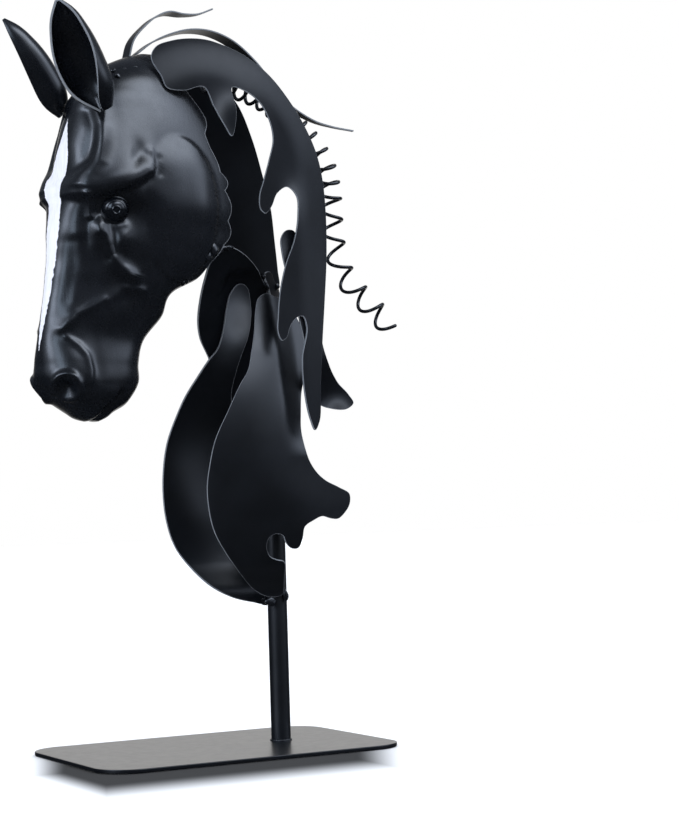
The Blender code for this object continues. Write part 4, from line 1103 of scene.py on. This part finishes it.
def make_head(sheets, paint):
    """The pressed shell: an outer grid with all its carving and an inner one with the broad
    forms alone, a wall further in. Below the opening both ends of a row meet under the jaw."""
    rows = graded(HEAD_BANDS)
    left_half = graded(SWEEP_BANDS)
    sweep = np.concatenate((-left_half[:0:-1], left_half))
    plain, ahead = plain_head(rows, sweep)
    out = -grid_normals(plain)
    closed = rows <= HEAD_CLOSES_BELOW
    for ends in (plain, out):
        seam = (ends[closed, 0] + ends[closed, -1]) / 2
        seam[:, 1] = 0.0
        ends[closed, 0] = ends[closed, -1] = seam
    out = unit_rows(out)
    p, l, z = plain[..., 0], plain[..., 1], plain[..., 2]
    broad = broad_relief(p, l, z)
    outer = plain + out * (broad + fine_relief(p, l, z))[..., None]
    inner = plain + out * (broad - sheets.wall / UNIT)[..., None]
    count = rows.size * sweep.size
    index = np.arange(count).reshape(rows.size, sweep.size)
    index[closed, -1] = index[closed, 0]
    first_closed = int(np.argmax(closed))
    left = index[:first_closed + 1, -1]
    right = index[first_closed - 1::-1, 0]
    loop = np.concatenate((left, right))
    inward = np.concatenate((index[:first_closed, -2], [index[first_closed + 1, 0]],
                             index[first_closed - 1::-1, 1]))
    flat_outer = outer.reshape(-1, 3)
    outward = unit_rows(flat_outer[loop] - flat_outer[inward])
    points, faces, _, marks = walled(flat_outer, inner.reshape(-1, 3), [grid_quads(index)],
                                     loop, outward, sheets.edge / UNIT)
    # The open rim's outer points get the painted highlight of the cut edges too
    marks[loop] = 1.0
    top, foot = np.append(index[0], index[0, 0]), index[-1]
    for ring, way in ((top, -1), (foot, 1), (top + count, 1), (foot + count, -1)):
        points, fan = lidded(points, ring, way)
        faces.append(fan)
    marks = np.append(marks, np.zeros(len(points) - len(marks)))
    used = np.unique(np.concatenate([part.ravel() for part in faces]))
    renumber = np.zeros(len(points), int)
    renumber[used] = np.arange(len(used))
    faces = [renumber[part] for part in faces]
    blaze = np.full(len(points), NO_BLAZE)
    blaze[:count] = blaze_mark(l, z, ahead).ravel()
    finish = satin("head_paint", paint.head_roughness, blaze=True)
    put_mesh("head_shell_pressed", to_figure(points[used]), faces, finish, GLOSS_SLOT, "head_shell",
             marks={"edge": marks[used], "blaze": blaze[used]})


# Ears

# Each ear: its base and its tip, which way its opening faces, how wide it is, how far the rolled
# sheet reaches round at the base, in the middle and at the tip, and how far it bows sideways
EARS = {
    "left_ear": ((47.8, 20.8, 240), (76.5, 26, 287), (0.92, 0.4, 0.0), 11.2, (168, 104, 84), -2.6),
    "right_ear": ((47, -16.4, 243.2), (77, -22, 287.5), (0.6, -0.8, 0.0), 8.2, (140, 100, 80), -1.4),
}
EAR_PLACES = (0, 0.15, 0.4, 0.7, 0.9, 1)
EAR_WIDTHS = (0.3, 0.79, 1, 0.86, 0.48, 0.09)
EAR_CLEARANCE = 0.8
EAR_ROWS, EAR_COLUMNS = 80, 60


def clear_of_head(p, l, z):
    """Points that would lie in the head, moved out from its middle until they are clear of it."""
    front, widest, half_width, square = station(z, FRONT, WIDEST, HALF_WIDTH, SQUARE_FRONT)
    ahead = np.maximum(p - widest, 0.0) / (front - widest)
    reach = (ahead ** square + (np.abs(l) / half_width) ** square) ** (1 / square)
    wanted = 1 + (EAR_CLEARANCE + np.maximum(broad_relief(p, l, z), 0.0)) / half_width
    push = np.where(z < HEAD_STATIONS[0, 0], np.maximum(wanted / np.maximum(reach, TINY), 1.0), 1.0)
    return widest + (p - widest) * push, l * push


def ear_grid(name):
    """A leaf rolled about a line from base to tip, bowed sideways by a half sine: each section is
    an arc of its own radius, nearly closed at the base and open at the tip."""
    base, tip, facing, width, reach, bow = (np.asarray(part, float) for part in EARS[name])
    axis = unit_rows(tip - base)
    facing = unit_rows(facing - (facing @ axis) * axis)
    across = np.cross(axis, facing)
    along = np.linspace(0, 1, EAR_ROWS)
    radius = width * through(EAR_PLACES, EAR_WIDTHS, along)
    half_angle = np.radians(through((0, 0.5, 1), reach, along))
    angle = np.linspace(-1, 1, EAR_COLUMNS)[None, :] * half_angle[:, None]
    centre = base + along[:, None] * (tip - base) + bow * np.sin(math.pi * along)[:, None] * across
    grid = (centre[:, None, :] - facing * (radius[:, None] * np.cos(angle))[..., None]
            + across * (radius[:, None] * np.sin(angle))[..., None])
    z = grid[..., 2]
    p, l = clear_of_head(grid[..., 0], grid[..., 1], z)
    return to_figure(np.stack((p, l, z), axis=-1))


# Welds

BEAD_ROWS, BEAD_COLUMNS = 18, 28
# Waves of a bead's radius, as how many there are in latitude and in longitude
BEAD_WAVES, BEAD_ROUGHNESS = ((2, 1), (3, 2), (5, 4)), 0.12
# Beads of weld: middle, half sizes and turn, in the head's units and in the figure's
HEAD_WELDS = (
    ((35.0, 10.0, 261.6), (1.5, 1.7, 1.4), 0.3),
    ((34.8, 13.4, 258.2), (1.6, 1.6, 1.7), 0.8),
    ((29.4, 11.2, 262.6), (1.7, 1.3, 1.1), 1.3),
    ((23.4, 12.4, 264.2), (1.6, 1.2, 1.0), 0.2),
    ((-10.2, 27.0, 175.4), (3.0, 2.4, 3.4), 0.4),
    ((-6.4, 27.0, 171.5), (2.4, 1.8, 2.6), 0.2),
    ((3.9, 23.2, 160.3), (1.4, 1.2, 2.6), 0.0),
    ((6.1, 22.8, 158.9), (1.1, 1.0, 2.2), 0.0),
    ((44.6, 16.8, 238.6), (1.4, 1.2, 1.1), 0.0),
)
FIGURE_WELDS = (
    ((-35.2, -16.1, 176.7), (2.6, 1.8, 2.2), 0.6),
    ((-29.3, -14.5, 178.1), (3.2, 1.6, 1.5), 0.2),
    ((3.7, 9.7, 161.9), (1.6, 1.8, 2.4), 0.7),
    ((1.2, 7.6, 167.3), (1.4, 1.4, 1.6), 0.7),
    ((13.4, 17.0, 163.0), (2.0, 1.6, 2.0), 0.7),
    ((-6.4, -5.6, -0.6), (3.0, 1.5, 2.2), 0.0),
    ((1.8, -5.9, 2.4), (1.5, 1.3, 3.2), 0.0),
    ((-4.0, 5.8, -0.6), (3.2, 1.5, 2.2), 0.0),
)


def bead(middle, size, turn, seed):
    """A small bead of weld: an ellipsoid of three half sizes in latitude and longitude, turned
    about z, whose radius swells and shrinks by a sum of sines of both angles."""
    chance = np.random.default_rng(seed)
    latitude = np.linspace(math.pi, 0, BEAD_ROWS)[1:-1, None]
    longitude = np.arange(BEAD_COLUMNS)[None, :] * FULL_TURN / BEAD_COLUMNS
    swell = 1.0
    for a, b in BEAD_WAVES:
        phase = chance.uniform(0, FULL_TURN, 2)
        wave = np.sin(a * latitude + phase[0]) * np.sin(b * longitude + phase[1])
        swell = swell + BEAD_ROUGHNESS / a * 2 * wave
    x = size[0] * swell * np.sin(latitude) * np.cos(longitude)
    y = size[1] * swell * np.sin(latitude) * np.sin(longitude)
    z = size[2] * swell * np.cos(latitude) + 0 * longitude
    c, s = math.cos(turn), math.sin(turn)
    grid = np.stack((c * x - s * y, s * x + c * y, z), axis=-1)
    foot, head = (0.0, 0.0, -size[2]), (0.0, 0.0, size[2])
    points, faces = closed_rings(grid.reshape(-1, 3), BEAD_COLUMNS, foot, head)
    return points + np.asarray(middle, float), faces


def joined(parts):
    """Several bodies as one list of points and faces."""
    points, faces, start = [], [], 0
    for part_points, part_faces in parts:
        points.append(part_points)
        faces += [part + start for part in part_faces]
        start += len(part_points)
    return np.vstack(points), faces


def make_welds(paint):
    """Beads as rough ellipsoids, those on the head turned with it."""
    finish = satin("weld_paint", paint.head_roughness, edges=False, wave=0.0)
    for name, welds, slot in (("head_welds", HEAD_WELDS, GLOSS_SLOT),
                              ("figure_welds", FIGURE_WELDS, PAINT_SLOT)):
        points, faces = joined([bead(*weld, seed) for seed, weld in enumerate(welds)])
        put_mesh(name, to_figure(points) if welds is HEAD_WELDS else points, faces, finish, slot)


# Stage

CAMERA_PLACE = (-0.4273, -0.9166, 0.1215)
CAMERA_RIGHT = (0.8765239, -0.48041241, -0.03016246)
CAMERA_UP = (0.00603889, -0.05168136, 0.99864537)
CAMERA_AHEAD = (0.48132047, 0.87551868, 0.04239879)
SENSOR_WIDTH = 36.0
NEAREST_SEEN = 0.01

FLOOR_HALF, FLOOR_DROP = 6.0, 0.0002
# The floor's painted shadow, which make_floor lays out from the camera's place
SHADOW_REACH, SHADOW_MARGIN = 98.0, 2.0
SHADOW_FULL, SHADOW_DEPTH, SHADOW_COLOUR = 0.75, 0.97, (0.02, 0.02, 0.02)

# Lamps: place, size and colour
LAMPS_AIM_AT = (-0.02, 0.0, 0.2)
KEY_SOFTBOX = (0.5, -0.85, 1.4), (1.2, 0.6), (0.90, 0.95, 1.0)
SIDE_WINDOW = (-1.11, -0.78, 0.75), (0.36, 0.8), (0.62, 0.78, 1.0)

# What the paint mirrors. The first is how bright the room is from the floor up to its ceiling.
# A patch of light has the way to its middle, between which cosines of the angle from that way it
# fades in, its brightness, and how it changes with the height of the way that is mirrored.
WHITE = (1.0, 1.0, 1.0)
ROOM = (-0.02, 0.3, 0.03, 0.2)
WALL_WAY = (0.48, 0.875, 0.05)
WINDOW_WAY = (-0.89, -0.16, 0.42)
PATCHES = {
    "canopy": ((0.46, -0.89, 0.0), 0.46, 0.64, 5.4, ((0.52, 0.72), (0.76, 0.92, 1.0, 0.0))),
    "side": ((0.66, -0.66, 0.34), 0.80, 0.93, 0.6, ((0.0, 0.15),)),
    "screen": ((0.785, -0.453, 0.423), 0.94, 0.985, 1.9, ()),
    "window_glow": (WINDOW_WAY, 0.80, 0.95, 0.9, ()),
    "window": (WINDOW_WAY, 0.965, 0.985, 7.0, ()),
    "wall": (WALL_WAY, 0.85, 0.95, 0.92, ()),
}
ROOM_TINT, WALL_TINT, WALL_TINTED = (0.77, 0.88, 1.09), (0.99, 0.98, 0.97), (0.70, 0.85)
MATT_LIGHT = 1.12


def make_camera(settings):
    camera = bpy.data.cameras.new("camera")
    camera.lens = settings.lens
    camera.sensor_width = SENSOR_WIDTH
    camera.clip_start = NEAREST_SEEN
    eye = bpy.data.objects.new("camera", camera)
    turn = Matrix((CAMERA_RIGHT, CAMERA_UP, [-v for v in CAMERA_AHEAD])).transposed().to_4x4()
    eye.matrix_world = Matrix.Translation(CAMERA_PLACE) @ turn
    bpy.context.scene.collection.objects.link(eye)
    bpy.context.scene.camera = eye


def make_floor(settings):
    """A pale floor with a soft shadow in front of the plate: the share of a way of length
    SHADOW_REACH, going from the floor's point in under the plate and away from the camera's
    place, that the plate covers. Either axis limits where that way enters and leaves."""
    material, nodes, shader = new_material("pale_floor")
    axes = nodes.axes()
    enters, leaves = 0.0, SHADOW_REACH * UNIT
    far = math.hypot(*CAMERA_PLACE[:2])
    for axis, length, place in (("X", BASE_LENGTH, CAMERA_PLACE[0]), ("Y", BASE_WIDTH, CAMERA_PLACE[1])):
        step = nodes.math(nodes.math(axes[axis], place, "SUBTRACT"), far, "DIVIDE")
        edge = (length / 2 + SHADOW_MARGIN) * UNIT
        back = nodes.math(-edge, axes[axis], "SUBTRACT")
        front = nodes.math(edge, axes[axis], "SUBTRACT")
        enters = nodes.math(nodes.math(back, step, "DIVIDE"), enters, "MAXIMUM")
        leaves = nodes.math(nodes.math(front, step, "DIVIDE"), leaves, "MINIMUM")
    covered = nodes.math(leaves, enters, "SUBTRACT")
    shade = nodes.spread(covered, 0.0, SHADOW_FULL * SHADOW_REACH * UNIT)
    shade.node.interpolation_type = "SMOOTHSTEP"
    shade = nodes.math(shade, SHADOW_DEPTH, "MULTIPLY")
    colour = nodes.mix(shade, full(settings.floor), full(SHADOW_COLOUR))
    for socket, value in (("Base Color", colour), ("Roughness", 1.0), ("Specular IOR Level", 0.0)):
        nodes.feed(shader.inputs[socket], value)
    mesh = bpy.data.meshes.new("floor")
    corners = [(x * FLOOR_HALF, y * FLOOR_HALF, 0) for x, y in ((-1, -1), (1, -1), (1, 1), (-1, 1))]
    mesh.from_pydata(corners, [], [(0, 1, 2, 3)])
    mesh.materials.append(material)
    floor = bpy.data.objects.new("floor", mesh)
    floor.location.z = -FLOOR_DROP
    floor.visible_glossy = False
    bpy.context.scene.collection.objects.link(floor)


def make_light(name, power, place, size, colour):
    """A rectangular lamp turned towards the head."""
    light = bpy.data.lights.new(name, "AREA")
    light.shape = "RECTANGLE"
    light.size, light.size_y = size
    light.energy = power
    light.color = colour
    lamp = bpy.data.objects.new(name, light)
    lamp.location = place
    lamp.rotation_euler = (Vector(LAMPS_AIM_AT) - Vector(place)).to_track_quat("-Z", "Y").to_euler()
    bpy.context.scene.collection.objects.link(lamp)


def make_world():
    """Plain white to the camera and to matt surfaces. What the paint mirrors is a dim bluish
    studio with patches of light: a wide canopy high in front, a light and a screen at the front
    right, a window with a glow round it at the left and a low white wall behind."""
    world = bpy.data.worlds.new("studio")
    bpy.context.scene.world = world
    world.use_nodes = True
    world.node_tree.nodes.clear()
    nodes = Nodes(world.node_tree, "Generated")

    def toward(way, *limits):
        node = nodes.add("ShaderNodeVectorMath", operation="DOT_PRODUCT")
        nodes.feed(node.inputs[0], nodes.place)
        nodes.feed(node.inputs[1], way)
        return nodes.spread(node.outputs["Value"], *limits)

    def background(colour, strength):
        node = nodes.add("ShaderNodeBackground")
        nodes.feed(node.inputs["Color"], colour)
        nodes.feed(node.inputs["Strength"], strength)
        return node.outputs[0]

    rise = nodes.axes()["Z"]
    level = nodes.spread(rise, *ROOM)
    for way, low, high, brightness, changes in PATCHES.values():
        light = toward(way, low, high, 0.0, brightness)
        for change in changes:
            light = nodes.math(light, nodes.spread(rise, *change), "MULTIPLY")
        level = nodes.math(level, light)
    tint = nodes.mix(toward(WALL_WAY, *WALL_TINTED), full(ROOM_TINT), full(WALL_TINT))
    seen = background(tint, level)
    path = nodes.add("ShaderNodeLightPath").outputs
    for kind, strength in (("Is Diffuse Ray", MATT_LIGHT), ("Is Camera Ray", 1.0)):
        mixed = nodes.add("ShaderNodeMixShader")
        for number, value in enumerate((path[kind], seen, background(full(WHITE), strength))):
            nodes.feed(mixed.inputs[number], value)
        seen = mixed.outputs[0]
    nodes.feed(nodes.add("ShaderNodeOutputWorld").inputs["Surface"], seen)


# Operators


class HORSE_OT_base(bpy.types.Operator):
    """Make the base plate and the rod"""
    bl_idname = "horse.base"
    bl_label = "Base and rod"

    def execute(self, context):
        scene = context.scene
        make_base(scene.horse_paint)
        make_post(scene.horse_paint)
        return {"FINISHED"}


class HORSE_OT_chest(bpy.types.Operator):
    """Make the two chest plates"""
    bl_idname = "horse.chest"
    bl_label = "Chest plates"

    def execute(self, context):
        sheets, paint = context.scene.horse_sheets, context.scene.horse_paint
        for name, corners, side, gloss in (("left_chest", LEFT_CHEST, near_chest_side, 0.5),
                                           ("right_chest", RIGHT_CHEST, chest_side, 0.3)):
            finish = satin(name + "_paint", paint.roughness - CHEST_SMOOTHER, gloss=gloss)
            make_sheet(name + "_sheet", corners, side, name + "_plate", finish, sheets)
        return {"FINISHED"}


class HORSE_OT_neck(bpy.types.Operator):
    """Make the throat plate, the neck plate and its tab"""
    bl_idname = "horse.neck"
    bl_label = "Throat and neck"

    def execute(self, context):
        sheets, paint = context.scene.horse_sheets, context.scene.horse_paint
        finish = satin("neck_paint", paint.roughness, gloss=0.16)
        make_sheet("throat_sheet", THROAT, throat_side, "throat_plate", finish, sheets)
        make_sheet("neck_sheet", NECK, neck_side, "neck_plate", finish, sheets)
        make_sheet("neck_tab_sheet", NECK_TAB, tab_side, "neck_tab", finish, sheets)
        return {"FINISHED"}


class HORSE_OT_mane(bpy.types.Operator):
    """Make the mane plate, the lock behind it and the two ribbons"""
    bl_idname = "horse.mane"
    bl_label = "Mane"

    def execute(self, context):
        sheets, paint = context.scene.horse_sheets, context.scene.horse_paint
        finish = satin("mane_paint", paint.roughness, wave=0.12, gloss=0.22)
        make_sheet("mane_sheet", MANE, mane_side, "left_mane_plate", finish, sheets)
        make_sheet("mane_lock_sheet", LOCK, lock_side, "right_mane_lock", finish, sheets)
        edge = sheets.edge * RIBBON_EDGE
        for name, band in RIBBONS.items():
            strip = rolled_sheet(ribbon_grid(*band), sheets.ribbon_wall, edge)
            put_sheet(name + "_strip", strip, finish, PAINT_SLOT, name)
        return {"FINISHED"}


class HORSE_OT_spring(bpy.types.Operator):
    """Wind the coil of round wire along the crest"""
    bl_idname = "horse.spring"
    bl_label = "Mane spring"

    def execute(self, context):
        settings, paint = context.scene.horse_spring, context.scene.horse_paint
        path, out = spring_path(settings)
        points, faces = tube(path, settings.wire / 2 / UNIT, out, WIRE_SIDES)
        finish = satin("wire_paint", paint.head_roughness, edges=False)
        put_mesh("mane_spring_wire", points, faces, finish, WIRE_SLOT, "mane_spring")
        return {"FINISHED"}


class HORSE_OT_head(bpy.types.Operator):
    """Press the hollow head with its carving and its blaze, and seat its eyeballs"""
    bl_idname = "horse.head"
    bl_label = "Head and eyes"

    def execute(self, context):
        make_head(context.scene.horse_sheets, context.scene.horse_paint)
        make_eyes(context.scene.horse_paint)
        return {"FINISHED"}


class HORSE_OT_ears(bpy.types.Operator):
    """Roll the two ears"""
    bl_idname = "horse.ears"
    bl_label = "Ears"

    def execute(self, context):
        sheets, paint = context.scene.horse_sheets, context.scene.horse_paint
        finish = satin("ear_paint", paint.head_roughness)
        for name in EARS:
            leaf = rolled_sheet(ear_grid(name), sheets.wall, sheets.edge)
            put_sheet(name + "_leaf", leaf, finish, GLOSS_SLOT, name)
        return {"FINISHED"}


class HORSE_OT_welds(bpy.types.Operator):
    """Lay the beads of weld that join the sheets"""
    bl_idname = "horse.welds"
    bl_label = "Welds"

    def execute(self, context):
        make_welds(context.scene.horse_paint)
        return {"FINISHED"}


class HORSE_OT_stage(bpy.types.Operator):
    """Set up the floor, the lights and the camera"""
    bl_idname = "horse.stage"
    bl_label = "Stage"

    def execute(self, context):
        settings = context.scene.horse_stage
        context.scene.view_settings.view_transform = "Standard"
        make_camera(settings)
        make_floor(settings)
        make_world()
        make_light("key_softbox", settings.key_light, *KEY_SOFTBOX)
        make_light("side_window", settings.side_light, *SIDE_WINDOW)
        return {"FINISHED"}


class HORSE_PT_panel(bpy.types.Panel):
    """Settings and pieces of the ornament"""
    bl_idname = "HORSE_PT_panel"
    bl_label = "Horse head ornament"
    bl_space_type = "VIEW_3D"
    bl_region_type = "UI"
    bl_category = "Horse head"

    def draw(self, context):
        scene = context.scene
        for title, group in (("Sheet", scene.horse_sheets), ("Spring", scene.horse_spring),
                             ("Paint", scene.horse_paint), ("Stage", scene.horse_stage)):
            box = self.layout.box()
            box.label(text=title)
            for name in group.__annotations__:
                box.prop(group, name)
        for operator in OPERATORS:
            self.layout.operator(operator.bl_idname)


SETTINGS = {
    "horse_sheets": HorseSheetSettings,
    "horse_spring": HorseSpringSettings,
    "horse_paint": HorsePaintSettings,
    "horse_stage": HorseStageSettings,
}
OPERATORS = (HORSE_OT_base, HORSE_OT_chest, HORSE_OT_neck, HORSE_OT_mane, HORSE_OT_spring,
             HORSE_OT_head, HORSE_OT_ears, HORSE_OT_welds, HORSE_OT_stage)


def register():
    for group in (*SETTINGS.values(), *OPERATORS, HORSE_PT_panel):
        bpy.utils.register_class(group)
    for name, group in SETTINGS.items():
        setattr(bpy.types.Scene, name, PointerProperty(type=group))


def unregister():
    for name in SETTINGS:
        delattr(bpy.types.Scene, name)
    for group in (HORSE_PT_panel, *reversed(OPERATORS), *reversed(SETTINGS.values())):
        bpy.utils.unregister_class(group)


def main():
    register()
    bpy.ops.horse.base()
    bpy.ops.horse.chest()
    bpy.ops.horse.neck()
    bpy.ops.horse.mane()
    bpy.ops.horse.spring()
    bpy.ops.horse.head()
    bpy.ops.horse.ears()
    bpy.ops.horse.welds()
    bpy.ops.horse.stage()


if __name__ == "__main__":
    main()
